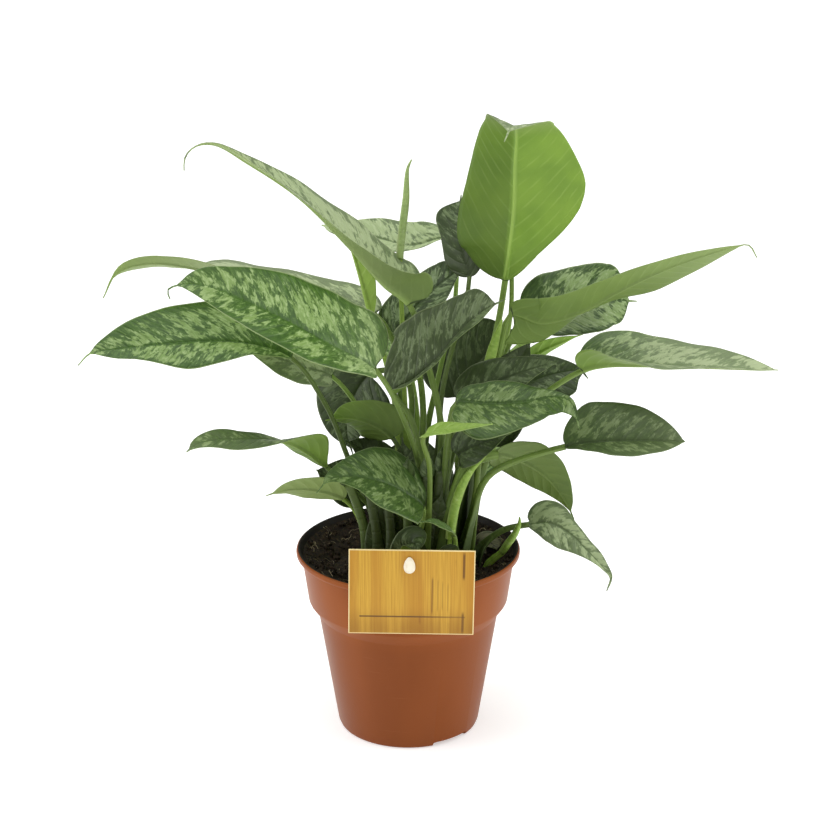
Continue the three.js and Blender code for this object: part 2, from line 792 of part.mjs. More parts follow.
// A thin ring across the blade: folded up along the rib, curled and waved out to the margins.
function bladeRing(leaf, v) {
  const { skew = 0, lobe = LOBE } = leaf;
  const left = sideWidth(leaf, v, leaf.left);
  const right = sideWidth(leaf, v, leaf.right);
  const fold = radians(spreadNumber(leaf.fold, v));
  const curl = radians(leaf.curl);
  const ribDepth = THREE.MathUtils.lerp(RIB_DEPTH_BASE, RIB_DEPTH_TIP, v ** 0.5);
  const top = [];
  const bottom = [];
  for (const s of COLUMNS) {
    const out = Math.abs(s);
    const width = s < 0 ? left : right;
    const chord = fold + (curl * out) / 2;
    const phase = s > 0 ? 1.4 : 0;
    const wave = leaf.wave * out ** 2 * Math.sin(Math.PI * v) * Math.sin(9 * v + phase);
    const side = s * width * Math.cos(chord);
    const up = out * width * Math.sin(chord) + wave;
    const tilt = fold + curl * out;
    const normalSide = s === 0 ? 0 : -Math.sign(s) * Math.sin(tilt);
    const normalUp = s === 0 ? 1 : Math.cos(tilt);
    const above = BLADE_THICK / 2;
    const below = s === 0 ? ribDepth : BLADE_THICK / 2;
    const back = skew * width * s - lobe * width * (1 - v) ** 4 * out ** 2;
    top.push([side + normalSide * above, up + normalUp * above, back]);
    bottom.push([side - normalSide * below, up - normalUp * below, back]);
  }
  return { top, bottom };
}

function rolledRing(leaf, v) {
  const swell = Math.sin(Math.PI * (0.35 + 0.62 * v)) ** 0.8;
  return roundRing(COLUMNS.length, Math.max(leaf.half * swell, TIP_HALF_WIDTH));
}

function placeRing(ring, centre, along, up) {
  const side = new THREE.Vector3().crossVectors(along, up);
  const place = ([a, b, c]) =>
    centre.clone().addScaledVector(side, a).addScaledVector(up, b).addScaledVector(along, c);
  return { top: ring.top.map(place), bottom: ring.bottom.map(place) };
}

function square(up, along) {
  return up.clone().addScaledVector(along, -up.dot(along)).normalize();
}

// Joins rings into one closed body. Both faces are split along the same diagonals, mirrored at the rib.
function loft(rings) {
  const count = rings[0].top.length;
  const positions = [];
  for (const ring of rings) {
    for (const point of [...ring.top, ...ring.bottom]) positions.push(point.x, point.y, point.z);
  }
  const top = (k, c) => k * 2 * count + c;
  const bottom = (k, c) => (k * 2 + 1) * count + c;
  const index = [];
  const quad = (a, b, c, d, mirrored) => {
    if (mirrored) index.push(a, b, d, b, c, d);
    else index.push(a, b, c, a, c, d);
  };
  const last = rings.length - 1;
  for (let c = 0; c < count - 1; c++) {
    const mirrored = c < (count - 1) / 2;
    for (let k = 0; k < last; k++) {
      quad(top(k, c), top(k, c + 1), top(k + 1, c + 1), top(k + 1, c), mirrored);
      quad(bottom(k, c), bottom(k + 1, c), bottom(k + 1, c + 1), bottom(k, c + 1), mirrored);
    }
    quad(top(0, c), bottom(0, c), bottom(0, c + 1), top(0, c + 1), false);
    quad(top(last, c), top(last, c + 1), bottom(last, c + 1), bottom(last, c), false);
  }
  for (let k = 0; k < last; k++) {
    const end = count - 1;
    quad(top(k, 0), top(k + 1, 0), bottom(k + 1, 0), bottom(k, 0), false);
    quad(top(k, end), bottom(k, end), bottom(k + 1, end), top(k + 1, end), false);
  }
  const geometry = new THREE.BufferGeometry();
  geometry.setAttribute("position", new THREE.Float32BufferAttribute(positions, 3));
  geometry.setIndex(index);
  geometry.computeVertexNormals();
  return geometry;
}

// Shares of the spine at which the stem has a ring: straight up out of its hole, then evenly on.
function stemShares(leaf) {
  const { joint, soil } = spineOf(leaf);
  const steps = leaf.broad ? STEM_STEPS_BROAD : STEM_STEPS_SMALL;
  const shares = [0];
  for (let k = 0; k <= steps; k++) shares.push(THREE.MathUtils.lerp(soil, joint, k / steps));
  return shares;
}

function leafGeometry(leaf) {
  const { curve, joint } = spineOf(leaf);
  const rings = [];
  let up = square(spreadVector(leaf.face, 0), curve.getTangentAt(joint));
  for (const u of stemShares(leaf).reverse()) {
    const along = curve.getTangentAt(u);
    up = square(up, along);
    const ring = roundRing(COLUMNS.length, stemRadius(leaf, u / joint));
    rings.unshift(placeRing(ring, curve.getPointAt(u), along, up));
  }
  const broadOrSmall = leaf.broad ? STATIONS_BROAD : STATIONS_SMALL;
  for (const v of leaf.rolled ? STATIONS_ROLLED : broadOrSmall) {
    const u = joint + (1 - joint) * v;
    const along = curve.getTangentAt(u);
    const facing = square(spreadVector(leaf.face, v), along);
    const ring = leaf.rolled ? rolledRing(leaf, v) : bladeRing(leaf, v);
    rings.push(placeRing(ring, curve.getPointAt(u), along, facing));
  }
  return loft(rings);
}

// The upright hole that a stem stands in: a little wider than the stem and a little deeper.
function stemHole(leaf) {
  const radius = (stemRadius(leaf, 0) + SEAT_GAP) / Math.cos(Math.PI / HOLE_SIDES);
  const depth = ROOT_DEPTH + SEAT_GAP + 4 * SOIL_UNEVEN;
  const hole = new THREE.CylinderGeometry(radius, radius, depth, HOLE_SIDES);
  hole.rotateX(Math.PI / 2);
  hole.translate(...leaf.root, SOIL_TOP - ROOT_DEPTH - SEAT_GAP + depth / 2);
  return toSolid(hole);
}

function lathe(profile) {
  const points = profile.map(([r, z]) => new THREE.Vector2(r, z));
  const geometry = new THREE.LatheGeometry(points, POT_SIDES);
  geometry.rotateX(Math.PI / 2);
  return geometry;
}

// Heights on the pot's outer wall, from the lip down
const LIP_BOTTOM = POT_HEIGHT - LIP_HEIGHT;
const BAND_BOTTOM = POT_HEIGHT - BAND_HEIGHT;
const STEP_BOTTOM = BAND_BOTTOM - STEP_HEIGHT;

// The pot's outer wall as radius and height from the base's edge up to the lip, moved in by inset.
function wallProfile(inset) {
  return [
    [BODY_TOP_RADIUS - inset, STEP_BOTTOM],
    [BAND_BOTTOM_RADIUS - inset, BAND_BOTTOM],
    [BAND_TOP_RADIUS - inset, LIP_BOTTOM],
  ];
}

// The radius of the pot's inner wall at a height on the body or on the rim band.
function insideRadius(z) {
  const [low, high] = z < STEP_BOTTOM
    ? [[BASE_RADIUS, 0], [BODY_TOP_RADIUS, STEP_BOTTOM]]
    : [[BAND_BOTTOM_RADIUS, BAND_BOTTOM], [BAND_TOP_RADIUS, LIP_BOTTOM]];
  return THREE.MathUtils.mapLinear(z, low[1], high[1], low[0], high[0]) - WALL;
}

// A notch in the base's edge, as a flat piece of a ring, turned to its angle from +X.
function notchSolid(angle) {
  const from = radians(angle - NOTCH_SPAN / 2);
  const to = radians(angle + NOTCH_SPAN / 2);
  const shape = new THREE.Shape();
  shape.absarc(0, 0, BASE_RADIUS + 2, from, to, false);
  shape.absarc(0, 0, BASE_RADIUS - NOTCH_DEPTH, to, from, true);
  const geometry = new THREE.ExtrudeGeometry(shape, {
    depth: 2 * NOTCH_HEIGHT,
    bevelEnabled: false,
    curveSegments: 4,
  });
  geometry.translate(0, 0, -NOTCH_HEIGHT);
  return toSolid(geometry);
}

function potGeometry() {
  const foot = [[0, 0], [BASE_RADIUS - BASE_ROUND, 0], [BASE_RADIUS, BASE_ROUND]];
  const edge = LIP_EDGE.map(([inward, up]) => [LIP_RADIUS - inward, LIP_BOTTOM + up]);
  const lip = [...edge, [LIP_INNER_RADIUS, POT_HEIGHT]];
  const inside = [...wallProfile(WALL).reverse(), [insideRadius(FLOOR), FLOOR], [0, FLOOR]];
  let pot = toSolid(lathe([...foot, ...wallProfile(0), ...lip, ...inside]));
  for (let i = 0; i < DRAIN_COUNT; i++) {
    const angle = (2 * Math.PI * i) / DRAIN_COUNT;
    const drill = new THREE.CylinderGeometry(DRAIN_RADIUS, DRAIN_RADIUS, 4 * FLOOR, 10);
    drill.rotateX(Math.PI / 2);
    drill.translate(DRAIN_CIRCLE * Math.sin(angle), DRAIN_CIRCLE * Math.cos(angle), 0);
    pot = pot.subtract(toSolid(drill));
  }
  for (const angle of NOTCH_ANGLES) pot = pot.subtract(notchSolid(angle));
  return toGeometry(pot);
}

function soilHeight(x, y) {
  const ripple = Math.sin(0.21 * x + 1) * Math.cos(0.17 * y) + 0.6 * Math.sin(0.43 * x - 0.37 * y);
  return SOIL_TOP + SOIL_UNEVEN * ripple;
}

// The soil fills the pot's inside up to its own uneven top, clear of the wall by the seat gap.
function soilGeometry() {
  const floor = FLOOR + SEAT_GAP;
  const topRadius = insideRadius(SOIL_TOP - 2 * SOIL_UNEVEN) - SEAT_GAP;
  const side = [
    [0, floor],
    [insideRadius(floor) - SEAT_GAP, floor],
    ...wallProfile(WALL + SEAT_GAP).slice(0, -1),
  ];
  const top = SOIL_RINGS.map((share) => [topRadius * share, SOIL_TOP]);
  const geometry = lathe([...side, ...top]);
  const position = geometry.attributes.position;
  for (let i = 0; i < position.count; i++) {
    if (position.getZ(i) < SOIL_TOP - 0.01) continue;
    position.setZ(i, soilHeight(position.getX(i), position.getY(i)));
  }
  let soil = toSolid(geometry);
  for (const leaf of LEAVES) soil = soil.subtract(stemHole(leaf));
  return toGeometry(soil.subtract(toSolid(stakeLeg(SEAT_GAP))));
}

function box(width, depth, height, x, y, z) {
  const geometry = new THREE.BoxGeometry(width, depth, height);
  geometry.translate(x, y, z);
  return geometry;
}

// The stake's upright leg behind the rim, grown by a gap all round.
function stakeLeg(gap) {
  const { width, thick, bottom } = STAKE_LEG;
  const low = bottom - gap;
  const high = STAKE_Z + STAKE_PEG.height / 2;
  return box(width + 2 * gap, thick + 2 * gap, high - low, STAKE_X, STAKE_LEG_Y, (low + high) / 2);
}

// The stake's flat peg, from the leg forward over the lip to the given y, grown by a gap at its sides.
function stakePeg(gap, front) {
  const { width, height } = STAKE_PEG;
  const length = STAKE_LEG_Y - front;
  const y = STAKE_LEG_Y - length / 2;
  return box(width + 2 * gap, length, height + 2 * gap, STAKE_X, y, STAKE_Z);
}

function stakeGeometry() {
  const { width, height, thick } = STAKE_HEAD;
  const back = CARD_BACK_Y - CARD_THICK - SEAT_GAP;
  const head = new THREE.CylinderGeometry(width / 2, width / 2, thick, 20);
  head.scale(1, 1, height / width);
  head.translate(STAKE_X, back - thick / 2, STAKE_Z);
  const joined = toSolid(stakeLeg(0)).add(toSolid(stakePeg(0, back - thick / 2))).add(toSolid(head));
  return toGeometry(joined);
}

function cardGeometry() {
  const y = CARD_BACK_Y - CARD_THICK / 2;
  const board = box(CARD_WIDTH, CARD_THICK, CARD_HEIGHT, CARD_CENTRE_X, y, CARD_TOP - CARD_HEIGHT / 2);
  const slot = stakePeg(SEAT_GAP, CARD_BACK_Y - 2 * CARD_THICK);
  return toGeometry(toSolid(board).subtract(toSolid(slot)));
}

const scene = new THREE.Group();
scene.add(named("pot", potGeometry(), "terracotta", 0.45));
scene.add(named("soil", soilGeometry(), "peat", 0.95));
scene.add(named("label_card", cardGeometry(), "board", 0.6));
scene.add(named("label_stake", stakeGeometry(), "cream", 0.4));
for (const leaf of LEAVES) scene.add(named(leaf.name, leafGeometry(leaf), leaf.colour, 0.4));

export default scene;
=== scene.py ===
# %% [markdown]
# # A variegated aroid in its nursery pot
# This lesson dresses the solid model of a potted house plant: long pointed leaves with silver-green
# mottling, a terracotta-coloured plastic pot of peat, and a small bamboo plant label at the rim.
# The solids come in first. They fix where every piece is and how large it is, and most of the finer
# pieces that are made here take the place of one of them.

from math import cos, pi, radians, sin
from types import SimpleNamespace

import bmesh
import bpy
import numpy as np
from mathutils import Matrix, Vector


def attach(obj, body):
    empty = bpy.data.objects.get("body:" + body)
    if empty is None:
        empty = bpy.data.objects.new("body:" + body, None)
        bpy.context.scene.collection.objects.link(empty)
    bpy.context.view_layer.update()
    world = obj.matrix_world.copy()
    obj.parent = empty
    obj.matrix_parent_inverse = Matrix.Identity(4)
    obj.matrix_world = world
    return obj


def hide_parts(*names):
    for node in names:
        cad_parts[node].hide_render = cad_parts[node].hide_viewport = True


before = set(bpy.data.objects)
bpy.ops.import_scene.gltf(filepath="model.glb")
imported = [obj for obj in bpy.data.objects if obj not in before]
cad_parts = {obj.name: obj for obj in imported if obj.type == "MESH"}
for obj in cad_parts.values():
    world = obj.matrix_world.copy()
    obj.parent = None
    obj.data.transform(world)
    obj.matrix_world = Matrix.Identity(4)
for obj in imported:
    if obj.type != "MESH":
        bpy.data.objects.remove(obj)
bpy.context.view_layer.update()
MM = 0.001

# %% [markdown]
# ## Camera
# A product picture of a plant is taken with a long lens from a little above, so that the rim of the pot
# reads as a shallow oval. The camera stands a metre in front and half a metre up, and looks down by 19
# degrees. The lens is worked out from how large the pot is in the picture, 838 pixels wide.

# %% Camera
PICTURE_WIDTH = 838
SENSOR_WIDTH = 36
FOCAL_PIXELS = 2016
LOOK_DOWN = 19.1
CAMERA_PLACE = (0.0058, -1.0, 0.52)

lens = bpy.data.cameras.new("camera")
lens.sensor_width = SENSOR_WIDTH
lens.lens = FOCAL_PIXELS / PICTURE_WIDTH * SENSOR_WIDTH
camera = bpy.data.objects.new("camera", lens)
camera.location = CAMERA_PLACE
camera.rotation_euler = (radians(90 - LOOK_DOWN), 0, 0)
bpy.context.scene.collection.objects.link(camera)
bpy.context.scene.camera = camera
print("lens:", round(lens.lens, 1), "mm")

# %% [markdown]
# ## Helpers for modelling by hand
# Operators act on whatever is selected, so every new piece starts from an empty selection. A finished
# piece says which body it moves with, which solid it stands for and which finish it takes.

# %% Helpers for modelling by hand
def start_afresh():
    if bpy.context.object and bpy.context.object.mode != "OBJECT":
        bpy.ops.object.mode_set(mode="OBJECT")
    bpy.ops.object.select_all(action="DESELECT")


def select_only(piece):
    start_afresh()
    piece.select_set(True)
    bpy.context.view_layer.objects.active = piece


def settle(piece):
    """Puts the piece's place into its mesh, so that the object itself sits at the origin."""
    select_only(piece)
    bpy.ops.object.transform_apply(location=True, rotation=True, scale=True)


def cut_away(piece, tool):
    """Cuts the tool's shape out of the piece and throws the tool away."""
    select_only(piece)
    cut = piece.modifiers.new("cut", "BOOLEAN")
    cut.object = tool
    cut.solver = "EXACT"
    bpy.ops.object.modifier_apply(modifier=cut.name)
    bpy.data.objects.remove(tool, do_unlink=True)


def stand_in(piece, node, finish, slot):
    """The piece takes the place of a solid, with its finish."""
    piece.data.materials.clear()
    piece.data.materials.append(finish)
    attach(piece, "root")
    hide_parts(node)


def smooth_by_angle(piece, degrees):
    select_only(piece)
    bpy.ops.object.shade_smooth_by_angle(angle=radians(degrees))


# %% [markdown]
# ## Helpers for finishes
# Every finish is a small network of nodes. Mixing one by hand means adding a node, setting it and wiring
# it, over and over. This bench keeps that short: each method adds one kind of node and returns its output.

# %% Helpers for finishes
def linear(code):
    """A colour written as on a paint chart, such as 9C5A34, as the amounts of light that it sends back."""
    shares = [int(code[i : i + 2], 16) / 255 for i in (0, 2, 4)]
    light = [((c + 0.055) / 1.055) ** 2.4 if c > 0.04 else c / 12.92 for c in shares]
    return (*light, 1.0)


class Bench:
    def __init__(self, name):
        self.material = bpy.data.materials.new(name)
        self.material.use_nodes = True
        self.nodes = self.material.node_tree.nodes
        self.links = self.material.node_tree.links
        self.surface = self.nodes["Principled BSDF"]

    def add(self, kind, inputs=(), **settings):
        node = self.nodes.new(kind)
        for key, value in settings.items():
            setattr(node, key, value)
        for key, value in dict(inputs).items():
            self.put(node.inputs[key], value)
        return node

    def put(self, socket, value):
        if isinstance(value, bpy.types.NodeSocket):
            self.links.new(value, socket)
        else:
            socket.default_value = value

    def place(self):
        return self.add("ShaderNodeTexCoord").outputs["Object"]

    def attribute(self, name, output="Vector"):
        return self.add("ShaderNodeAttribute", attribute_name=name).outputs[output]

    def parts(self, vector):
        return self.add("ShaderNodeSeparateXYZ", {"Vector": vector}).outputs

    def stretch(self, vector, scale, move=(0, 0, 0), turn=(0, 0, 0)):
        inputs = {"Vector": vector, "Scale": scale, "Location": move, "Rotation": turn}
        return self.add("ShaderNodeMapping", inputs).outputs["Vector"]

    def noise(self, vector, detail=2.0, roughness=0.5, distortion=0.0):
        inputs = {"Vector": vector, "Scale": 1, "Detail": detail, "Roughness": roughness}
        return self.add("ShaderNodeTexNoise", {**inputs, "Distortion": distortion}).outputs["Fac"]

    def math(self, operation, *values):
        node = self.add("ShaderNodeMath", operation=operation)
        for socket, value in zip(node.inputs, values):
            self.put(socket, value)
        return node.outputs[0]

    def rise(self, value, start, end, low=0.0, high=1.0):
        """Goes smoothly from low to high while the value goes from start to end."""
        inputs = {"Value": value, "From Min": start, "From Max": end, "To Min": low, "To Max": high}
        node = self.add("ShaderNodeMapRange", inputs, interpolation_type="SMOOTHSTEP")
        return node.outputs["Result"]

    def mix(self, share, first, second):
        """Mixes two colours, for which this node has the inputs 6 and 7 and the output 2."""
        node = self.add("ShaderNodeMix", data_type="RGBA")
        self.put(node.inputs["Factor"], share)
        self.put(node.inputs[6], first)
        self.put(node.inputs[7], second)
        return node.outputs[2]

    def mix_value(self, share, first, second):
        """Mixes two plain values."""
        return self.add("ShaderNodeMix", {0: share, 2: first, 3: second}).outputs[0]

    def bump(self, height, depth, strength=1.0):
        inputs = {"Height": height, "Distance": depth, "Strength": strength}
        self.put(self.surface.inputs["Normal"], self.add("ShaderNodeBump", inputs).outputs["Normal"])

    def finish(self, colour, roughness, **sockets):
        self.put(self.surface.inputs["Base Color"], colour)
        self.put(self.surface.inputs["Roughness"], roughness)
        for key, value in sockets.items():
            self.put(self.surface.inputs[key.replace("_", " ")], value)
        return self.material


# %% [markdown]
# ## The plastic of the pot
# The real pot is blow-thin plastic in a terracotta colour, satin and slightly uneven, with faint scuffs
# that run round it. Its inside wall and the top of its lip, inside the outer edge, are near-black. So
# there are two finishes: one for the outside with broad and fine noise in colour, gloss and height, and a
# dull near-black one for the inside.

# %% The plastic of the pot
# Heights in millimetres between which painted shade darkens the body below the rim band.
SHADE_PAINTED_BELOW = 58
NO_SHADE_PAINTED_ABOVE = 72


def pot_finish():
    bench = Bench("terracotta_plastic")
    place = bench.place()
    cloudy = bench.noise(bench.stretch(place, (22, 22, 9)), detail=3)
    grain = bench.noise(bench.stretch(place, (900, 900, 900)), detail=2)
    scuffs = bench.noise(bench.stretch(place, (60, 60, 1400)), detail=2)
    colour = bench.mix(bench.rise(cloudy, 0.35, 0.7), linear("834314"), linear("8D4A1A"))
    colour = bench.mix(bench.rise(scuffs, 0.66, 0.8, 0, 0.2), colour, linear("A66A42"))
    # Painted shade: the body below the rim band is darkened towards a deeper brown.
    low_down = bench.rise(bench.parts(place)[2], SHADE_PAINTED_BELOW * MM, NO_SHADE_PAINTED_ABOVE * MM, 0.3, 0)
    colour = bench.mix(low_down, colour, linear("6A3310"))
    gloss = bench.rise(cloudy, 0.3, 0.7, 0.36, 0.46)
    bench.bump(bench.math("ADD", grain, bench.math("MULTIPLY", scuffs, 0.6)), 0.00006, 0.5)
    return bench.finish(colour, gloss, Specular_IOR_Level=0.15)


def pot_inside_finish():
    bench = Bench("near_black_inside_plastic")
    place = bench.place()
    blotches = bench.noise(bench.stretch(place, (120, 120, 60)), detail=4, roughness=0.65)
    colour = bench.mix(bench.rise(blotches, 0.35, 0.7), linear("15110D"), linear("2B2119"))
    bench.bump(blotches, 0.0002, 0.6)
    return bench.finish(colour, bench.rise(blotches, 0.3, 0.7, 0.55, 0.8), Specular_IOR_Level=0.25)


# %% [markdown]
# ## The pot
# A nursery pot is one thin moulding: a flat base with drain holes and two notches, a tapering wall, a step
# out to the rim band and a rolled lip. It could be spun from a profile, but pulling up a ring of edges
# step by step is easy to follow: each pull adds one stretch of wall. The holes and notches are cut last.

# %% Pulling up the wall
POT_SIDES = 144
POT_RINGS = [
    (36.0, 0.0), (37.7, 0.6), (38.5, 2.5), (48.5, 65.4), (48.9, 66.4), (53.2, 72.4), (53.7, 73.6),
    (57.0, 97.6), (57.5, 98.1), (59.3, 98.5), (59.9, 99.3), (60.0, 100.4), (59.7, 101.4), (59.1, 101.9),
    (58.4, 101.9), (57.9, 101.5), (57.5, 100.6), (55.8, 98.0), (52.2, 73.0), (47.2, 66.0), (37.6, 3.4),
]


def pull_ring(ring, radius, height):
    """Pulls the selected ring of edges on to a new radius and height."""
    lift = (height - ring[1]) * MM
    bpy.ops.mesh.extrude_region_move(TRANSFORM_OT_translate={"value": (0, 0, lift)})
    share = radius / ring[0]
    bpy.ops.transform.resize(value=(share, share, 1))
    return radius, height


# %% The tools that cut holes and notches
DRAIN_CIRCLE = 25
DRAIN_RADIUS = 4
DRAIN_COUNT = 6
DRILL_LENGTH = 20
NOTCH_CIRCLE = 38
NOTCH_ANGLES = (-52.5, 127.5)
NOTCH_SIZE = (22, 9, 5.2)


def drain_tools():
    for i in range(DRAIN_COUNT):
        angle = 2 * pi * i / DRAIN_COUNT
        place = (DRAIN_CIRCLE * sin(angle) * MM, DRAIN_CIRCLE * cos(angle) * MM, 0)
        bpy.ops.mesh.primitive_cylinder_add(
            vertices=32, radius=DRAIN_RADIUS * MM, depth=DRILL_LENGTH * MM, location=place
        )
        yield bpy.context.object


def notch_tools():
    for angle in NOTCH_ANGLES:
        a = radians(angle)
        place = (NOTCH_CIRCLE * cos(a) * MM, NOTCH_CIRCLE * sin(a) * MM, 0)
        bpy.ops.mesh.primitive_cube_add(size=MM, location=place, rotation=(0, 0, a + pi / 2))
        tool = bpy.context.object
        tool.scale = NOTCH_SIZE
        yield tool


# %% The pot
DARK_LIP = (58.8, 101)
DARK_FROM = 3


def darken_inside(pot):
    """Gives the second finish to the inside wall and to the lip's top, inside its outer edge."""
    pot.data.materials.append(pot_inside_finish())
    radius, height = DARK_LIP
    for face in pot.data.polygons:
        spot = face.center
        outward = face.normal.x * spot.x + face.normal.y * spot.y
        on_lip = spot.z > height * MM and spot.xy.length < radius * MM
        if on_lip or spot.z > DARK_FROM * MM and outward < 0:
            face.material_index = 1


def make_pot():
    start_afresh()
    ring = POT_RINGS[0]
    bpy.ops.mesh.primitive_circle_add(vertices=POT_SIDES, radius=ring[0] * MM, fill_type="NGON")
    pot = bpy.context.object
    pot.name = "nursery_pot"
    bpy.ops.object.mode_set(mode="EDIT")
    bpy.ops.mesh.select_all(action="SELECT")
    bpy.ops.mesh.delete(type="ONLY_FACE")
    bpy.ops.mesh.select_all(action="SELECT")
    for radius, height in POT_RINGS[1:]:
        ring = pull_ring(ring, radius, height)
    bpy.ops.mesh.edge_face_add()
    bpy.ops.mesh.select_all(action="SELECT")
    bpy.ops.mesh.select_non_manifold()
    bpy.ops.mesh.edge_face_add()
    bpy.ops.mesh.select_all(action="SELECT")
    bpy.ops.mesh.normals_make_consistent(inside=False)
    bpy.ops.object.mode_set(mode="OBJECT")
    for tools in (drain_tools, notch_tools):
        start_afresh()
        for tool in tools():
            settle(tool)
            cut_away(pot, tool)
    stand_in(pot, "pot", pot_finish(), "pot_plastic")
    darken_inside(pot)
    smooth_by_angle(pot, 32)
    return pot


pot = make_pot()
print("pot faces:", len(pot.data.polygons))

# %% [markdown]
# ## The peat
# Potting peat is a mass of near-black crumbs and fibres, with a few pale specks. The mass is a disc with
# many rings, moved up and down by a formula of waves, heaped up at the wall as watering leaves it, and
# closed below as the solid is. Loose crumbs lie on it: one small lump with few faces, copied over a
# thousand times with its own size and turn each time. Fine roots and straws are thin tubes with three
# sides.

# %% The finish of the peat
def peat_finish():
    bench = Bench("peat")
    place = bench.place()
    crumbs = bench.noise(bench.stretch(place, (420, 420, 420)), detail=5, roughness=0.7)
    patches = bench.noise(bench.stretch(place, (60, 60, 60)), detail=3)
    specks = bench.noise(bench.stretch(place, (700, 700, 700), (3, 1, 2)), detail=1)
    colour = bench.mix(bench.rise(crumbs, 0.35, 0.7), linear("17110C"), linear("4A3A2B"))
    colour = bench.mix(bench.rise(patches, 0.4, 0.7, 0, 0.6), colour, linear("241913"))
    colour = bench.mix(bench.rise(specks, 0.72, 0.78, 0, 0.7), colour, linear("8C7A66"))
    bench.bump(bench.math("ADD", crumbs, bench.math("MULTIPLY", patches, 0.6)), 0.0016)
    return bench.finish(colour, bench.rise(crumbs, 0.3, 0.8, 0.7, 0.95), Specular_IOR_Level=0.25)


# %% The mass of the peat
SOIL_TOP = 90
SOIL_RADIUS = 56.4
SOIL_SIDES = 120
SOIL_STEPS = 26
SOIL_FOOT = [(55.3, 97.2), (52.0, 73.0), (47.0, 66.0), (37.3, 3.7)]
SOIL_WAVES = 1.1
SOIL_LUMPS = 0.35
HEAP_START = 36
HEAP_WIDTH = 20.5
HEAP_HEIGHT = 9.2


def soil_height(x, y):
    """The height of the peat's top: the waves of the solid, with finer lumps and a heap at the wall."""
    ripple = np.sin(0.21 * x + 1) * np.cos(0.17 * y) + 0.6 * np.sin(0.43 * x - 0.37 * y)
    lumps = np.sin(1.3 * x + 0.7 * y) * np.sin(1.1 * y - 0.5 * x) + 0.5 * np.sin(2.3 * x) * np.sin(2.7 * y)
    heaped = np.clip((np.hypot(x, y) - HEAP_START) / HEAP_WIDTH, 0, 1) ** 1.6
    uneven = (SOIL_WAVES * ripple + SOIL_LUMPS * lumps) * (1 - 0.85 * heaped)
    return SOIL_TOP + uneven + HEAP_HEIGHT * heaped


def make_peat():
    start_afresh()
    bpy.ops.mesh.primitive_circle_add(
        vertices=SOIL_SIDES, radius=SOIL_RADIUS * MM, fill_type="TRIFAN", location=(0, 0, SOIL_TOP * MM)
    )
    peat = bpy.context.object
    peat.name = "peat"
    settle(peat)
    bpy.ops.object.mode_set(mode="EDIT")
    mesh = bmesh.from_edit_mesh(peat.data)
    spokes = [e for e in mesh.edges if not e.is_boundary]
    bmesh.ops.subdivide_edges(mesh, edges=spokes, cuts=SOIL_STEPS, use_grid_fill=True)
    bmesh.update_edit_mesh(peat.data)
    bpy.ops.mesh.select_all(action="SELECT")
    bpy.ops.mesh.region_to_loop()
    ring = (SOIL_RADIUS, SOIL_TOP)
    for radius, height in SOIL_FOOT:
        ring = pull_ring(ring, radius, height)
    bpy.ops.mesh.edge_face_add()
    bpy.ops.mesh.select_all(action="SELECT")
    bpy.ops.mesh.normals_make_consistent(inside=False)
    bpy.ops.object.mode_set(mode="OBJECT")
    for point in peat.data.vertices:
        if abs(point.co.z - SOIL_TOP * MM) < MM:
            point.co.z = soil_height(point.co.x / MM, point.co.y / MM) * MM
    return peat


# %% Crumbs and fibres
CRUMBS = 1100
FIBRES = 130
FIBRE_RINGS = 6
FIBRE_SIDES = (0, 2.1, 4.2)
dice = np.random.default_rng(7)


def make_crumbs():
    """Loose lumps of peat on top of the mass, as one mesh."""
    lump = bmesh.new()
    bmesh.ops.create_icosphere(lump, subdivisions=1, radius=1)
    shape = np.array([v.co for v in lump.verts])
    faces = np.array([[v.index for v in f.verts] for f in lump.faces])
    lump.free()
    points, index = [], []
    for i in range(CRUMBS):
        radius = SOIL_RADIUS * 0.985 * dice.random() ** 0.5
        angle = 2 * pi * dice.random()
        x, y = radius * cos(angle), radius * sin(angle)
        size = 0.35 + 1.6 * dice.random() ** 3
        squash = size * (0.6 + 0.8 * dice.random(3))
        turned = shape * squash * (0.8 + 0.4 * dice.random((len(shape), 1)))
        c, s = cos(angle * 7), sin(angle * 7)
        turned = turned @ np.array([[c, s, 0], [-s, c, 0], [0, 0, 1]])
        index.append(faces + len(shape) * i)
        points.append(turned + (x, y, soil_height(x, y) + 0.3 * size))
    mesh = bpy.data.meshes.new("peat_crumbs")
    mesh.from_pydata((np.concatenate(points) * MM).tolist(), [], np.concatenate(index).tolist())
    return bpy.data.objects.new("peat_crumbs", mesh)


def make_fibres():
    """Fine roots and dry straws that lie about on the peat, each a thin bent tube with three sides."""
    points, faces = [], []
    for _ in range(FIBRES):
        radius = SOIL_RADIUS * (0.55 + 0.43 * dice.random() ** 0.7)
        angle = 2 * pi * dice.random()
        length = 3 + 9 * dice.random() ** 2
        turn = 2 * pi * dice.random()
        bend = dice.normal() * 0.5
        thick = 0.1 + 0.12 * dice.random()
        x, y = radius * cos(angle), radius * sin(angle)
        start = len(points)
        for k in range(FIBRE_RINGS):
            z = soil_height(x, y) + 0.5 + 0.9 * sin(k) ** 2
            points += [
                (x + thick * cos(a), y + thick * sin(a), z + thick * sin(a + 1)) for a in FIBRE_SIDES
            ]
            step = min(length / FIBRE_RINGS, max(SOIL_RADIUS - np.hypot(x, y) - 0.2, 0))
            x, y, turn = x + step * cos(turn), y + step * sin(turn), turn + bend
        for k in range(FIBRE_RINGS - 1):
            for c in range(3):
                a, b = start + 3 * k + c, start + 3 * k + (c + 1) % 3
                faces.append((a, b, b + 3, a + 3))
        last = start + 3 * (FIBRE_RINGS - 1)
        faces += [(start + 2, start + 1, start), (last, last + 1, last + 2)]
    mesh = bpy.data.meshes.new("peat_fibres")
    mesh.from_pydata([[c * MM for c in p] for p in points], [], faces)
    return bpy.data.objects.new("peat_fibres", mesh)


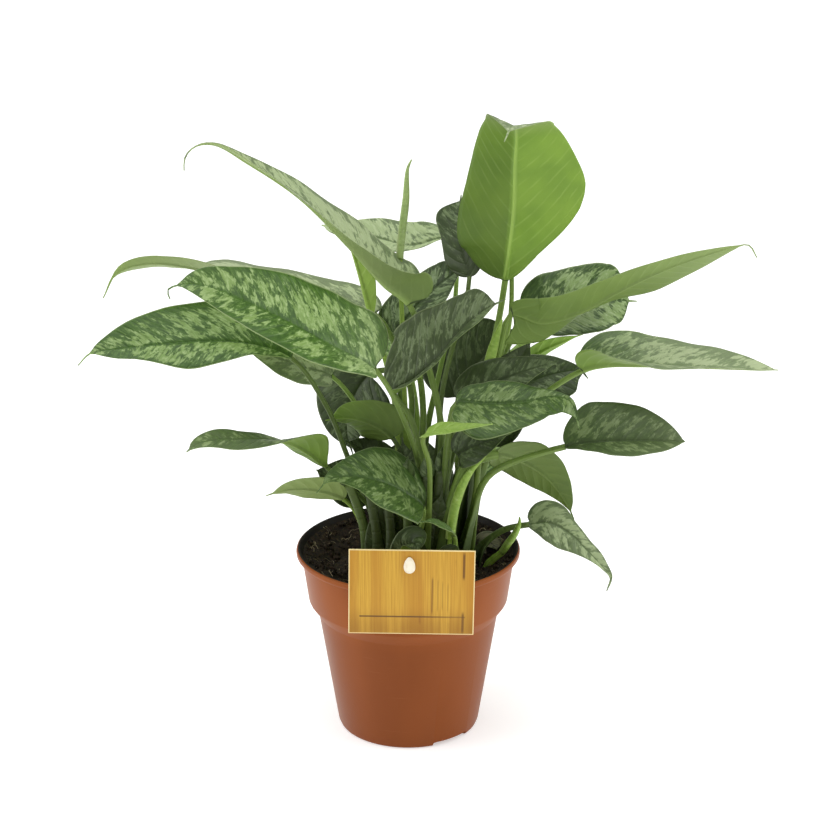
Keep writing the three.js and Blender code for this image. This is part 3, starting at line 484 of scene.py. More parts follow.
def fibre_finish():
    bench = Bench("dry_fibre")
    place = bench.place()
    which = bench.noise(bench.stretch(place, (90, 90, 90)), detail=1)
    colour = bench.mix(bench.rise(which, 0.42, 0.6), linear("4A3F33"), linear("9A8C72"))
    return bench.finish(colour, bench.rise(which, 0.3, 0.7, 0.6, 0.8), Specular_IOR_Level=0.3)


# %% Lay the peat
peat = make_peat()
crumbs = make_crumbs()
fibres = make_fibres()
for loose in (crumbs, fibres):
    bpy.context.scene.collection.objects.link(loose)
peat_look = peat_finish()
stand_in(peat, "soil", peat_look, "soil")
smooth_by_angle(peat, 60)
for loose, look in ((crumbs, peat_look), (fibres, fibre_finish())):
    loose.data.materials.append(look)
    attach(loose, "root")
print("peat faces:", len(peat.data.polygons), "crumb faces:", len(crumbs.data.polygons))

# %% [markdown]
# ## The plant label
# The label is a thin card of golden bamboo board with an upright grain, a few dark cracks, a brown line
# across its darker lower part and a pale cut edge. A cream plastic stake goes through a slot in it, and
# its egg-shaped head shows in front. The card is a thin box with eased edges, turned by a degree. The
# stake is two boxes and a squashed ball, joined to one piece.

# %% The finishes of the label
CARD_TOP = 125
CARD_TURN = 0.9
GRAIN_CENTRE = 102
CARD_DARKENS = (80, 96)
CARD_FACE = ((-29.4, 33.4), (79.1, 124.4))
CARD_LINE = ((-24.3, 29.5), (87.9, 88.6))
CARD_CRACKS = [
    ((28.0, 28.8), (111, 122), 0.9), ((27.9, 28.7), (81, 89), 0.8), ((12.3, 12.8), (92, 108), 0.6),
    ((15.2, 15.5), (93, 107), 0.3), ((17.6, 17.9), (94, 106), 0.3), ((20.4, 20.7), (93, 105), 0.25),
]


def within(bench, value, low, high, soft):
    """One between two places in millimetres, and zero outside them."""
    rising = bench.rise(value, (low - soft) * MM, low * MM)
    return bench.math("MULTIPLY", rising, bench.rise(value, high * MM, (high + soft) * MM, 1, 0))


def card_finish():
    bench = Bench("bamboo_board")
    place = bench.place()
    fine = bench.noise(bench.stretch(place, (1500, 1500, 28)), detail=3, roughness=0.6)
    broad = bench.noise(bench.stretch(place, (170, 170, 7)), detail=2)
    knots = bench.noise(bench.stretch(place, (260, 260, 60), (0, 0, 4)), detail=2)
    colour = bench.mix(bench.rise(fine, 0.3, 0.7), linear("B98A2A"), linear("D2A53C"))
    colour = bench.mix(bench.rise(broad, 0.4, 0.68, 0, 0.8), colour, linear("B27C22"))
    colour = bench.mix(bench.rise(knots, 0.68, 0.8, 0, 0.65), colour, linear("8A5A1E"))
    sway = GRAIN_CENTRE * MM * sin(radians(CARD_TURN))
    x, _, z = bench.parts(bench.stretch(place, (1, 1, 1), (sway, 0, 0), (0, -radians(CARD_TURN), 0)))
    # The board is darker towards its bottom, in broad patches.
    low_down = bench.rise(z, CARD_DARKENS[0] * MM, CARD_DARKENS[1] * MM, 0.6, 0)
    darker_low_share = bench.math("MULTIPLY", low_down, bench.rise(broad, 0.3, 0.6, 0.4, 1))
    colour = bench.mix(darker_low_share, colour, linear("8A5C14"))
    for across, upright, share in CARD_CRACKS:
        crack = bench.math("MULTIPLY", within(bench, x, *across, 0.4), within(bench, z, *upright, 3))
        colour = bench.mix(bench.math("MULTIPLY", crack, share), colour, linear("6B4617"))
    across, upright = CARD_LINE
    line = bench.math("MULTIPLY", within(bench, x, *across, 0.2), within(bench, z, *upright, 0.15))
    paler_share = bench.rise(x, 0, 30 * MM, 0.85, 0.45)
    colour = bench.mix(bench.math("MULTIPLY", line, paler_share), colour, linear("5A3C1C"))
    across, upright = CARD_FACE
    face = bench.math("MULTIPLY", within(bench, x, *across, 0.2), within(bench, z, *upright, 0.2))
    colour = bench.mix(face, linear("EBD69C"), colour)
    bench.bump(fine, 0.00008, 0.6)
    return bench.finish(colour, bench.rise(fine, 0.3, 0.7, 0.42, 0.55), Specular_IOR_Level=0.3)


def stake_finish():
    bench = Bench("cream_plastic")
    place = bench.place()
    cloudy = bench.noise(bench.stretch(place, (300, 300, 300)), detail=3)
    colour = bench.mix(bench.rise(cloudy, 0.35, 0.7), linear("F0E8D2"), linear("E4D9BC"))
    bench.bump(cloudy, 0.00005, 0.5)
    return bench.finish(colour, bench.rise(cloudy, 0.3, 0.7, 0.3, 0.4))


# %% The card
CARD_SIZE = (64, 0.8, 46.5)
CARD_CENTRE = (2, -60.9, CARD_TOP - CARD_SIZE[2] / 2)
STAKE_X = 1.0
STAKE_HEIGHT = 117
CARD_SLOT = ((3.4, 6, 5.6), (STAKE_X, -61, STAKE_HEIGHT))


def add_box(name, size, place, ease):
    """A box of a size in millimetres at its place, with its edges eased."""
    start_afresh()
    bpy.ops.mesh.primitive_cube_add(size=MM, location=[x * MM for x in place])
    piece = bpy.context.object
    piece.name = name
    piece.scale = size
    settle(piece)
    bpy.ops.object.mode_set(mode="EDIT")
    bpy.ops.mesh.select_all(action="SELECT")
    bpy.ops.mesh.bevel(offset=ease * MM, segments=3)
    bpy.ops.object.mode_set(mode="OBJECT")
    return piece


card = add_box("label_card_board", CARD_SIZE, CARD_CENTRE, 0.25)
card_middle = [x * MM for x in CARD_CENTRE]
select_only(card)
bpy.ops.transform.rotate(value=-radians(CARD_TURN), orient_axis="Y", center_override=card_middle)
settle(card)
slot_tool = add_box("slot_tool", *CARD_SLOT, 0.3)
cut_away(card, slot_tool)
stand_in(card, "label_card", card_finish(), "card")
smooth_by_angle(card, 40)

# %% The stake
STAKE_LEG = ((5, 1.2, 47.5), (-0.5, -50, 95.75))
STAKE_PEG = ((2.8, 12.9, 5), (0.6, -56.3, STAKE_HEIGHT))
STAKE_HEAD = ((2.9, 0.6, 4.5), (STAKE_X, -62.2, STAKE_HEIGHT))
HEAD_TAPER = 0.05


def make_stake():
    leg = add_box("label_stake_cream", *STAKE_LEG, 0.35)
    peg = add_box("peg", *STAKE_PEG, 0.3)
    start_afresh()
    size, place = STAKE_HEAD
    place = [x * MM for x in place]
    bpy.ops.mesh.primitive_uv_sphere_add(segments=40, ring_count=20, radius=MM, location=place)
    head = bpy.context.object
    head.scale = size
    settle(head)
    for point in head.data.vertices:
        lift = point.co.z / MM - STAKE_HEIGHT
        point.co.x += (STAKE_X * MM - point.co.x) * HEAD_TAPER * lift
    for part in (peg, head):
        select_only(leg)
        join = leg.modifiers.new("join", "BOOLEAN")
        join.operation = "UNION"
        join.object = part
        bpy.ops.object.modifier_apply(modifier=join.name)
        bpy.data.objects.remove(part, do_unlink=True)
    return leg


stake = make_stake()
stand_in(stake, "label_stake", stake_finish(), "stake_plastic")
smooth_by_angle(stake, 40)
print("label faces:", len(card.data.polygons), "stake faces:", len(stake.data.polygons))

# %% [markdown]
# ## The leaves: where they grow
# Every leaf is a stem that leaves the peat and a blade that is folded along its rib. Each one below has
# the root in the peat, the route of the stem, the route of the rib on to the drip tip, and the way the
# upper side faces from the joint to the tip, in millimetres. Most values are those of the solids, and
# some leaves are shaped a little further here. half is half the blade's width, fold is how far each side
# lifts off the flat, in degrees, from the joint to the tip, curl is the further turn of each side out to
# its margin, and wave is the height of the margin's waves. right and left give each side a width of its
# own, as shares of the usual one at even steps from the joint to the tip: no leaf has two equal halves.
# skew moves one margin forward, lobe is how far the sides reach back past the joint, peak is where on its
# length the blade is widest, and drip is how much of it is the thin drip tip. A broad leaf has a thicker
# stem and more rings, a rolled one is a young scroll, stout thickens the stem, and sheath is how far the
# stem opens at its foot.
#
# The rest is colour, as one share or as several from the joint to the tip. silver is how much of the
# blade is mottled, painted_shade darkens it as painted shade, pale_and_sheen makes it paler, partly as a
# paler tone and partly as painted sheen, shade_left and shade_right darken one side as painted shade, and
# foot is how much painted shade darkens the stem. What a leaf doesn't say, it takes from the usual leaf.

# %% The usual leaf
USUAL_LEAF = dict(
    broad=False, rolled=False, fold=[15, 12], curl=0, wave=1, left=[1], right=[1], skew=0, lobe=0.35,
    peak=0.32, drip=0.08, stout=1, silver=0.5, painted_shade=0, pale_and_sheen=0, shade_left=0, shade_right=0,
)

# %% The leaves: where they grow
LEAVES = [
    dict(
        name="leaf_upper_left_long", slot="leaf_pale", root=(12, -4), broad=True,
        stem=[(17, -4, 150), (17, -4, 175), (11, -5, 203), (1, -7, 238)],
        rib=[(-11, -10, 249), (-29, -16, 271), (-53, -23, 297.5), (-77, -30, 316), (-93, -35, 326.2),
            (-102, -38, 326), (-107, -41, 321), (-107.5, -42, 315)],
        face=[(0.6, 0.5, 0.6), (0.65, 0.05, 0.75), (0.62, 0.06, 0.8), (0.6, 0.1, 0.8), (0.4, 0.1, 0.9)],
        half=20, fold=[60, 28, 13, 13, 15], wave=1.5, foot=0.4,
        left=[2, 1.1, 0.6, 0.45, 0.5, 0.6, 0.7, 0.8, 0.9, 1, 1],
        right=[2.4, 1.5, 1.2, 1.25, 1.2, 1.15, 0.9, 0.6, 0.45, 0.6, 1],
        silver=[0.65, 0.75, 0.7, 0.6, 0.5],
        pale_and_sheen=[0.4, 0.75, 0.7, 0.6, 0.7, 0.6],
        shade_left=[0.35, 0.3, 0.1, 0, 0, 0],
    ),
    dict(
        name="leaf_left_twisted", slot="leaf_pale", root=(-5, 8), broad=True,
        stem=[(-1, 9, 150), (2, 10, 183), (-7, 13, 211), (-17, 16, 226)],
        rib=[(-41, 14, 233), (-64, 9, 241), (-86, 3, 249), (-108, -3, 256), (-131, -8, 260),
            (-147, -12, 256), (-154, -16, 244)],
        face=[(0.2, 0, 0.95), (0.15, 0, 1), (0.1, 0.15, 1), (-0.1, 0.65, 0.7), (-0.2, 0.6, 0.7)],
        half=19, fold=[12, 12], wave=1.5, painted_shade=0.1, foot=0.5,
        left=[1, 1, 1, 1, 1, 1, 1, 0.7, 0.65, 1.8, 3],
        right=[2, 1.6, 1.5, 1.6, 1.6, 2.1, 2, 1.4, 1.3, 3, 3],
        pale_and_sheen=[0.6, 0.8, 0.9, 0.9, 0.7, 0.3],
    ),
    dict(
        name="leaf_left_broad", slot="leaf_green", root=(5, -17), broad=True,
        stem=[(9, -18, 120), (7, -19, 148), (1, -29, 176), (-16, -47, 216)],
        rib=[(-35, -58, 231), (-56, -70, 247), (-77, -80, 261), (-94, -88, 270), (-105, -93, 272),
            (-111, -95, 270), (-110, -96, 266)],
        face=[(0.3, -0.4, 0.85), (0.25, -0.6, 0.75), (0.25, -0.65, 0.75)],
        half=27, fold=[14, 10], curl=-8, wave=1.5, skew=-0.2, sheath=1.2, foot=0.6, stout=0.85,
        right=[2, 1.4, 1.2, 1.15, 1.1, 1.1, 1.1, 1.15, 1.25, 2.2, 2],
        left=[0.8, 0.6, 0.7, 0.8, 0.75, 0.7, 0.8, 1, 1.3, 1.7, 1.5],
        pale_and_sheen=[0.3, 0.15, 0, 0, 0, 0.1, 0.15],
    ),
    dict(
        name="leaf_left_low_long", slot="leaf_green", root=(-13, -4), broad=True,
        stem=[(-18, -6, 118), (-30, -10, 152), (-42, -17, 187), (-59, -22, 214)],
        rib=[(-80, -26, 223), (-102, -32, 226), (-125, -38, 226), (-143, -42, 225), (-157, -46.5, 224),
            (-163, -48.5, 218.5)],
        face=[(0, -0.35, 0.95), (0, -0.5, 0.85), (0, -0.65, 0.75)],
        half=25, fold=[25, 12, 8], curl=-8, wave=2, skew=0.2, peak=0.4, painted_shade=0.08, foot=0.9, stout=0.8,
        left=[0.4, 0.55, 0.6, 0.65, 0.7, 0.85, 0.85, 0.65, 0.75, 1.4, 2],
        right=[2, 1.7, 1.2, 1.05, 1.05, 1, 0.97, 1, 1.12, 1.3, 1.6],
    ),
    dict(
        name="leaf_left_pale", slot="leaf_pale", root=(-13, 5),
        stem=[(-16, 6, 130), (-23, 8, 170), (-40, 7, 195)],
        rib=[(-56, 5, 201), (-72, 2, 208), (-90, 0, 215)],
        face=[(0.2, -0.4, 0.9), (0, -0.4, 0.9)],
        half=16, fold=[15, 10], curl=-10, pale_and_sheen=0.75,
    ),
    dict(
        name="leaf_left_shaded", slot="leaf_shade", root=(-11, 13), broad=True,
        stem=[(-7, 14, 130), (-3, 18, 175), (-9, 20, 194), (-20, 22, 191)],
        rib=[(-29, 24, 178), (-33, 24, 160), (-30, 24, 145)],
        face=[(-0.2, -0.8, 0.4), (-0.3, -0.9, 0.1), (-0.2, -1, -0.2)],
        half=22, fold=[10, 8], curl=-10, silver=0.4, painted_shade=0.6,
    ),
    dict(
        name="leaf_left_inner", slot="leaf_green", root=(-4, -11),
        stem=[(0, -9, 120), (0, -8, 143), (-8, -8, 166)],
        rib=[(-19, -8, 174), (-31, -7, 177), (-43, -6, 175)],
        face=[(0.3, 0.8, 0.5), (0.3, 0.8, 0.5)],
        half=18, fold=[10, 12], lobe=0.1, silver=0.4, sheath=4.5,
        painted_shade=[0.95, 0.95, 0.9, 0.7, 0.45, 0.35],
    ),
    dict(
        name="leaf_front_low", slot="leaf_green", root=(-2, -21), broad=True,
        stem=[(3, -25, 108), (7, -31, 124), (8, -36, 138)],
        rib=[(0, -41, 147), (-12, -50, 157), (-28, -57, 163), (-39, -62, 163), (-45, -67, 158)],
        face=[(0.4, -0.5, 0.8), (0.1, -0.5, 0.9), (-0.3, -0.4, 0.9)],
        half=21, curl=-10, wave=1.5, lobe=0.1, silver=0.42, painted_shade=0.5, sheath=4.5, stout=0.9,
        left=[0.6, 0.9, 1.1, 1.15, 1.1, 1.1, 1.05, 1, 1, 1.2, 1],
        right=[0.6, 0.9, 1.1, 1.15, 1.15, 1.15, 1.1, 1, 1, 1.2, 1],
    ),
    dict(
        name="leaf_left_small_twisted", slot="leaf_green", root=(-16, -11),
        stem=[(-17, -14, 125), (-30, -16, 141), (-42, -20, 154)],
        rib=[(-51, -25, 164), (-61, -29, 171), (-72, -33, 174), (-85, -38, 176), (-97, -42, 177),
            (-106, -46, 176), (-111, -49, 173)],
        face=[(0.2, 0.75, 0.65), (0.1, 0.6, 0.8), (0, 0, 1), (-0.1, -0.4, 0.9), (-0.1, -0.5, 0.9)],
        half=12, fold=[5, 10, 15], peak=0.45, drip=0.02, silver=0.35, sheath=4.5,
        left=[0.7, 0.9, 1.8, 2.3, 1.8, 1.1, 1.4, 1.5, 1.5, 1.7, 2],
        right=[1, 1, 1, 1, 1, 0.6, 0.5, 0.6, 1, 1.3, 2],
        painted_shade=[0.6, 0.6, 0.4, 0.2, 0.1],
        pale_and_sheen=[0, 0, 0.3, 0.5, 0.5],
    ),
    dict(
        name="leaf_centre_folded", slot="leaf_shade", root=(9, -10), broad=True,
        stem=[(11, -13, 130), (6, -15, 163), (0, -17, 183), (-7, -18, 194)],
        rib=[(4, -20, 203), (14, -22, 213), (27, -25, 230), (39, -27, 241), (49, -29, 247)],
        face=[(-0.6, -0.4, 0.7), (-0.5, -0.5, 0.7), (-0.4, -0.5, 0.7)],
        half=25, fold=[45, 30, 20], skew=-0.2, lobe=0.1, peak=0.4, silver=0.45, painted_shade=0.5, pale_and_sheen=0.1,
        sheath=4.5, foot=0.6,
        right=[0.6, 1, 0.6, 0.35, 0.25, 0.2, 0.4, 0.7, 1, 2, 2],
        left=[1.3, 1.3, 1.15, 1.05, 1, 1, 0.9, 1, 1.3, 2.7, 2],
    ),
    dict(
        name="leaf_centre_back", slot="leaf_shade", root=(3, -3), broad=True,
        stem=[(6, 2, 140), (8, 10, 176), (4, 17, 200), (-5, 20, 213)],
        rib=[(1, 23, 224), (12, 25, 236), (22, 29, 243), (32, 32, 250)],
        face=[(-0.4, -0.6, 0.7), (-0.4, -0.6, 0.7)],
        half=19, fold=[12, 12], silver=0.45, sheath=4.5, foot=0.3,
        left=[1, 1, 0.87, 0.81, 0.82, 0.87, 0.95, 1.15, 1.6, 3, 2],
    ),
    dict(
        name="leaf_back_pale", slot="leaf_pale", root=(6, 12),
        stem=[(8, 15, 150), (17, 28, 192), (25, 40, 226), (25, 46, 250), (20, 51, 258)],
        rib=[(2, 53, 254), (-20, 57, 258), (-47, 66, 262)],
        face=[(0.1, -0.5, 0.8), (0, -0.5, 0.8)],
        half=14, curl=-5, lobe=0, drip=0.02, silver=0.9, pale_and_sheen=0.5,
        left=[0.15, 0.3, 0.6, 0.9, 1, 2.5],
        right=[1, 1.1, 1.1, 1.1, 1, 2.5],
    ),
    dict(
        name="leaf_young_narrow", slot="leaf_young", root=(-4, -4),
        stem=[(-5, 0, 140), (-7, 3, 181), (-14, 2, 214), (-19, -2, 231)],
        rib=[(-21, -2, 239), (-24, -3, 251), (-28, -3, 265), (-32, -3, 276)],
        face=[(0.75, 0.62, 0.2), (0.75, 0.62, 0.2)],
        half=9, fold=[35, 35], curl=20, wave=0, foot=0.3,
        left=[0.4, 0.5, 0.6, 0.7, 0.85, 1, 1, 1, 1, 1, 1],
    ),
    dict(
        name="leaf_rolled_tall", slot="leaf_young", root=(1, 4), rolled=True,
        stem=[(0, 4, 140), (-2, 4, 190), (-3, 6, 227), (-4, 11, 257)],
        rib=[(-3, 14, 269), (-1, 14, 288), (0, 14, 304), (2, 13, 309)],
        face=[(0, -1, 0)],
        half=2.4, foot=0.3, pale_and_sheen=0.9,
    ),
    dict(
        name="leaf_tall_upright", slot="leaf_green", root=(28, 3), broad=True,
        stem=[(32, 1, 145), (41, 4, 197), (47, 6, 225), (50, 0, 249)],
        rib=[(52, -3, 266), (54, 0, 286), (54, -3, 309), (54, -12, 328.5), (51, -24, 333),
            (47, -36, 328)],
        face=[(0.3, 0.95, 0.1), (0.4, 0.9, 0), (0.4, 0.85, 0.3), (0.1, 0, 1), (0, -0.4, 0.9)],
        half=34.5, fold=[17, 17, 12], wave=1.5, skew=-0.12, lobe=0.25, peak=0.46, foot=0.15,
        right=[1.6, 1.25, 1.15, 1.15, 0.95, 0.9, 0.85, 0.92, 1.05, 2.05, 2],
        left=[0.6, 0.55, 0.7, 0.93, 1.05, 1.05, 1.04, 1, 1.05, 2.6, 2],
        shade_right=[0.55, 0.5, 0.45, 0.4, 0.35, 0.3, 0.2],
        pale_and_sheen=[0, 0, 0, 0, 0, 0, 0, 0, 0.6, 1, 1],
    ),
    dict(
        name="leaf_tall_shaded", slot="leaf_shade", root=(14, 5),
        stem=[(16, 4, 150), (18, 5, 187), (23, 6, 210), (29, 9, 231), (32, 14, 247)],
        rib=[(29, 22, 257), (27, 32, 270), (28, 43, 284)],
        face=[(-0.5, -0.6, 0.6), (-0.4, -0.7, 0.6)],
        half=17, fold=[12, 12], peak=0.45,
        left=[0.8, 0.7, 0.65, 0.65, 0.6, 0.65, 0.75, 1.1, 1.7, 2.6, 2],
        silver=[0, 0, 0.1, 0.3, 0.5],
        painted_shade=[0.9, 0.8, 0.6, 0.4, 0.2],
    ),
    dict(
        name="leaf_right_long", slot="leaf_green", root=(25, -6), broad=True,
        stem=[(31, -6, 150), (42, -7, 192), (48, -9, 217), (53, -13, 235)],
        rib=[(68, -14, 231), (88, -17, 237), (105, -20, 248), (126, -24, 260), (147, -27, 269),
            (162, -29, 274), (169, -30, 275), (173, -31, 269)],
        face=[(0, 0.95, 0.3), (0, 0.75, 0.65), (0, 0.65, 0.75), (0, 0.75, 0.65)],
        half=17, fold=[-6, 6, -3, -8], peak=0.22, lobe=0.1, silver=0.4, foot=0.3,
        right=[0.8, 1, 1, 1, 1, 1, 1, 1, 1, 1, 1],
        left=[2, 0.9, 0.3, 0.12, 0.2, 0.9, 1.35, 1.7, 1.9, 2.2, 2],
        painted_shade=[0.6, 0.5, 0.4, 0.3, 0.2, 0.1],
        pale_and_sheen=[0.1, 0.2, 0.35, 0.5, 0.6, 0.6],
    ),
    dict(
        name="leaf_right_broad", slot="leaf_pale", root=(25, 11), broad=True,
        stem=[(31, 11, 140), (40, 11, 170), (49, 13, 202), (63, 22, 222)],
        rib=[(80, 27, 227), (102, 32, 229), (122, 35, 228)],
        face=[(-0.1, -0.75, 0.65), (-0.1, -0.75, 0.65)],
        half=21, fold=[12, 10], curl=-5, wave=1.5, peak=0.45,
        left=[1.1, 1.2, 1.1, 1, 0.95, 1.05, 1.2, 1.5, 2.2, 4, 4],
        right=[1.7, 1.1, 1, 0.9, 0.9, 0.95, 1.1, 1.3, 1.6, 3.2, 3],
        silver=[0.3, 0.5, 0.6, 0.65, 0.65, 0.7],
        painted_shade=[0.4, 0.25, 0.15, 0.1, 0.1],
        shade_right=[0.3, 0.38, 0.45, 0.4, 0.2, 0.05, 0],
    ),
    dict(
        name="leaf_right_strip", slot="leaf_pale", root=(31, 8),
        stem=[(37, 10, 140), (49, 14, 177), (63, 16, 200)],
        rib=[(72, 16, 207), (83, 16, 212), (92, 17, 215)],
        face=[(0, 0.7, 0.7), (0, 0.7, 0.7)],
        half=7, fold=[10, 10], wave=0,
    ),
    dict(
        name="leaf_right_level", slot="leaf_green", root=(32, -8), broad=True,
        stem=[(38, -7, 140), (45, -11, 166), (58, -15, 183), (89, -20, 207)],
        rib=[(100, -24, 211), (117, -30, 213), (142, -36, 214), (163, -42, 215), (184, -48, 216)],
        face=[(0, 0, 1), (0, 0, 1)],
        half=24, fold=[58, 30, 18, 16, 16], curl=-10, wave=1.5, peak=0.34, lobe=0.2, drip=0.02,
        foot=0.3, silver=0.55, painted_shade=0.25,
        left=[1.1, 1.1, 1, 1, 1.1, 1.25, 1.3, 1.3, 1.3, 1.35, 1.5],
        pale_and_sheen=[0.1, 0.3, 0.7, 0.8, 0.8, 0.8],
    ),
    dict(
        name="leaf_right_olive", slot="leaf_shade", root=(34, -2),
        stem=[(36, -2, 130), (38, -2, 160), (48, 0, 184)],
        rib=[(64, 0, 194), (79, 0, 199), (90, 0, 200), (94, 0, 196)],
        face=[(-0.2, -0.7, 0.7), (0, -0.7, 0.7)],
        half=16, fold=[12, 10], curl=-5, wave=0.5, silver=0.25, painted_shade=0.3, foot=0.6,
        right=[1, 1, 1, 1, 1, 1.1, 1.5, 2, 2.5, 5, 3],
    ),
    dict(
        name="leaf_front_right", slot="leaf_green", root=(16, -18), broad=True,
        stem=[(18, -21, 130), (19, -26, 155), (21, -32, 180), (25, -37, 195)],
        rib=[(41, -41, 196), (59, -44, 198), (73, -47, 202), (81, -49, 200), (86, -51, 186)],
        face=[(0.1, -0.5, 0.8), (0, -0.5, 0.8), (0.3, -0.5, 0.6)],
        half=19, fold=[18, 14, 12], curl=-10, wave=1.5, peak=0.42, silver=0.45, painted_shade=0.5, sheath=4.5,
        foot=0.75,
        right=[1.5, 1.6, 1.7, 1.45, 1.05, 1, 1, 1.25, 1.6, 1.5, 1],
        left=[1, 0.8, 0.7, 0.7, 0.7, 0.6, 0.4, 0.2, 0.2, 0.2, 1],
    ),
    dict(
        name="leaf_front_dark", slot="leaf_shade", root=(18, -11),
        stem=[(20, -14, 140), (23, -14, 172), (27, -20, 190)],
        rib=[(40, -23, 199), (57, -25, 207), (70, -27, 212), (75, -28, 213), (77, -28, 209)],
        face=[(-0.2, -0.6, 0.7), (-0.2, -0.6, 0.7)],
        half=14, fold=[12, 12], curl=-5, silver=0.3, painted_shade=0.6, foot=0.7,
    ),
    dict(
        name="leaf_front_small", slot="leaf_young", root=(10, -24),
        stem=[(11, -32, 130), (11, -46, 165), (8, -56, 184)],
        rib=[(16, -61, 189), (29, -66, 192), (42, -69, 195)],
        face=[(0, -0.25, 1), (0, -0.25, 1)],
        half=6, fold=[10, 10], wave=0.5, foot=0.9, silver=0, painted_shade=0.25,
    ),
    dict(
        name="leaf_front_shaded", slot="leaf_shade", root=(23, -17),
        stem=[(26, -20, 147), (26, -24, 162)],
        rib=[(35, -27, 169), (44, -29, 173), (53, -31, 177)],
        face=[(-0.2, -0.6, 0.7), (-0.2, -0.6, 0.7)],
        half=12, fold=[12, 12], curl=-5, wave=0.5, silver=0.3, painted_shade=0.6, foot=0.7,
    ),
    dict(
        name="leaf_right_mid", slot="leaf_green", root=(29, -16), broad=True,
        stem=[(34, -22, 128), (39, -29, 149), (47, -34, 159), (80, -38, 172)],
        rib=[(97, -42, 176), (117, -46, 178), (139, -50, 179)],
        face=[(0, -0.5, 0.85), (0, -0.5, 0.85)],
        half=22, fold=[30, 30], curl=-10, peak=0.42, drip=0.01, foot=0.5, painted_shade=0.7, silver=0.3,
        right=[0.45, 0.4, 0.45, 0.5, 0.65, 0.8, 1, 1.1, 1.2, 1.5, 1.5],
        left=[1, 1, 1.1, 1, 0.95, 0.95, 1, 1, 1.05, 1.2, 1.5],
        pale_and_sheen=[0.1, 0.1, 0.2, 0.3, 0.45],
    ),
    dict(
        name="leaf_right_arching", slot="leaf_green", root=(20, -24), broad=True,
        stem=[(21, -27, 128), (25, -28, 145), (31, -27, 158), (46, -22, 162)],
        rib=[(59, -18, 157), (72, -17, 148), (81, -18, 137), (87, -20, 125)],
        face=[(0.1, 0.85, 0.5), (0.3, 0.85, 0.4), (0.5, 0.8, 0.2)],
        half=17, fold=[8, 8], silver=0.4, stout=1.7, foot=0.35,
        right=[0.55, 0.7, 0.85, 1, 1, 1, 0.9, 0.9, 0.9, 1.3, 1],
        painted_shade=[0.7, 0.8, 0.8, 0.9],
        pale_and_sheen=[0.3, 0.15, 0.05, 0],
    ),
    dict(
        name="leaf_right_drooping", slot="leaf_pale", root=(38, 4), broad=True,
        stem=[(41, 7, 99), (50, 8, 107), (65, 5, 112)],
        rib=[(76, 2, 114), (87, -2, 109), (95, -6, 102), (103, -9, 94), (108, -11, 88), (106, -13, 81)],
        face=[(0, -0.5, 0.8), (0.2, -0.6, 0.7), (0.5, -0.6, 0.5)],
        half=14.5, fold=[12, 12], curl=-10, peak=0.28, painted_shade=0.2, foot=0.8, pale_and_sheen=0.6,
        right=[0.3, 0.6, 0.85, 0.9, 0.9, 0.75, 0.5, 0.45, 0.3, 0.5, 1],
        left=[0.8, 1.05, 0.95, 0.65, 0.5, 0.5, 0.6, 0.7, 0.7, 0.5, 1],
    ),
    dict(
        name="leaf_old_on_soil", slot="leaf_old", root=(38, 14),
        stem=[(40, 15, 96)],
        rib=[(43, 15, 98), (46, 12, 97), (48, 8, 96)],
        face=[(0, -0.3, 1), (0.3, -0.3, 0.8)],
        half=9, fold=[5, 5], curl=-10, wave=0.5,
    ),
    dict(
        name="leaf_rolled_low", slot="leaf_young", root=(43, -3), rolled=True,
        stem=[(46, -4, 96), (50, -5, 100)],
        rib=[(53, -6, 105), (56, -7, 110), (58, -8, 115), (59, -9, 119), (59, -9, 122)],
        face=[(0, -1, 0)],
        half=2.4, stout=1.5,
    ),
    dict(
        name="leaf_left_lowest", slot="leaf_young", root=(-21, -3),
        stem=[(-23, -8, 108), (-27, -12, 125), (-34, -16, 135)],
        rib=[(-47, -22, 142), (-61, -28, 145), (-73, -32, 143)],
        face=[(0, 0.75, 0.65), (0, 0.75, 0.65)],
        half=12.5, fold=[8, 8], wave=0.5, peak=0.45, silver=0.3, foot=0.5, pale_and_sheen=0.5, painted_shade=0.4,
    ),
    dict(
        name="leaf_left_hidden", slot="leaf_shade", root=(-19, 5),
        stem=[(-18, 5, 106), (-21, 6, 124)],
        rib=[(-31, 6, 134), (-41, 6, 139), (-49, 6, 143)],
        face=[(0, -0.5, 0.8), (0, -0.5, 0.8)],
        half=15, fold=[10, 10], curl=-10, wave=0.5, peak=0.5, drip=0.02, silver=0.3, painted_shade=0.7,
    ),
    dict(
        name="leaf_front_tiny", slot="leaf_green", root=(25, -25),
        stem=[(25, -28, 108), (24, -34, 122)],
        rib=[(19, -39, 129), (12, -43, 133), (6, -46, 134)],
        face=[(0.4, -0.2, 0.9), (0.2, -0.2, 0.9)],
        half=4, fold=[10, 10], curl=-10, wave=0.5, silver=0, pale_and_sheen=0.25,
    ),
    dict(
        name="leaf_centre_shaded", slot="leaf_shade", root=(18, 12), broad=True,
        stem=[(20, 15, 130), (27, 24, 158), (27, 28, 176)],
        rib=[(33, 31, 189), (45, 35, 202), (59, 40, 213)],
        face=[(-0.5, -0.8, 0.4), (-0.4, -0.8, 0.4)],
        half=22, fold=[8, 8], curl=-5, silver=0.3, painted_shade=0.8,
        left=[1, 1.2, 1.4, 1.4, 1.3, 1.25, 1.25, 1.5, 2.2, 3, 2],
    ),
    dict(
        name="leaf_back_tall", slot="leaf_green", root=(20, 5),
        stem=[(28, 7, 145), (43, 9, 190), (53, 12, 222), (54, 24, 256)],
        rib=[(53, 38, 272), (56, 52, 284), (62, 68, 290)],
        face=[(0, -0.6, 0.8), (0, -0.4, 0.9)],
        half=13, curl=-5,
    ),
    dict(
        name="leaf_back_high", slot="leaf_green", root=(17, 20), broad=True,
        stem=[(20, 27, 135), (42, 44, 180), (60, 56, 196), (71, 62, 203)],
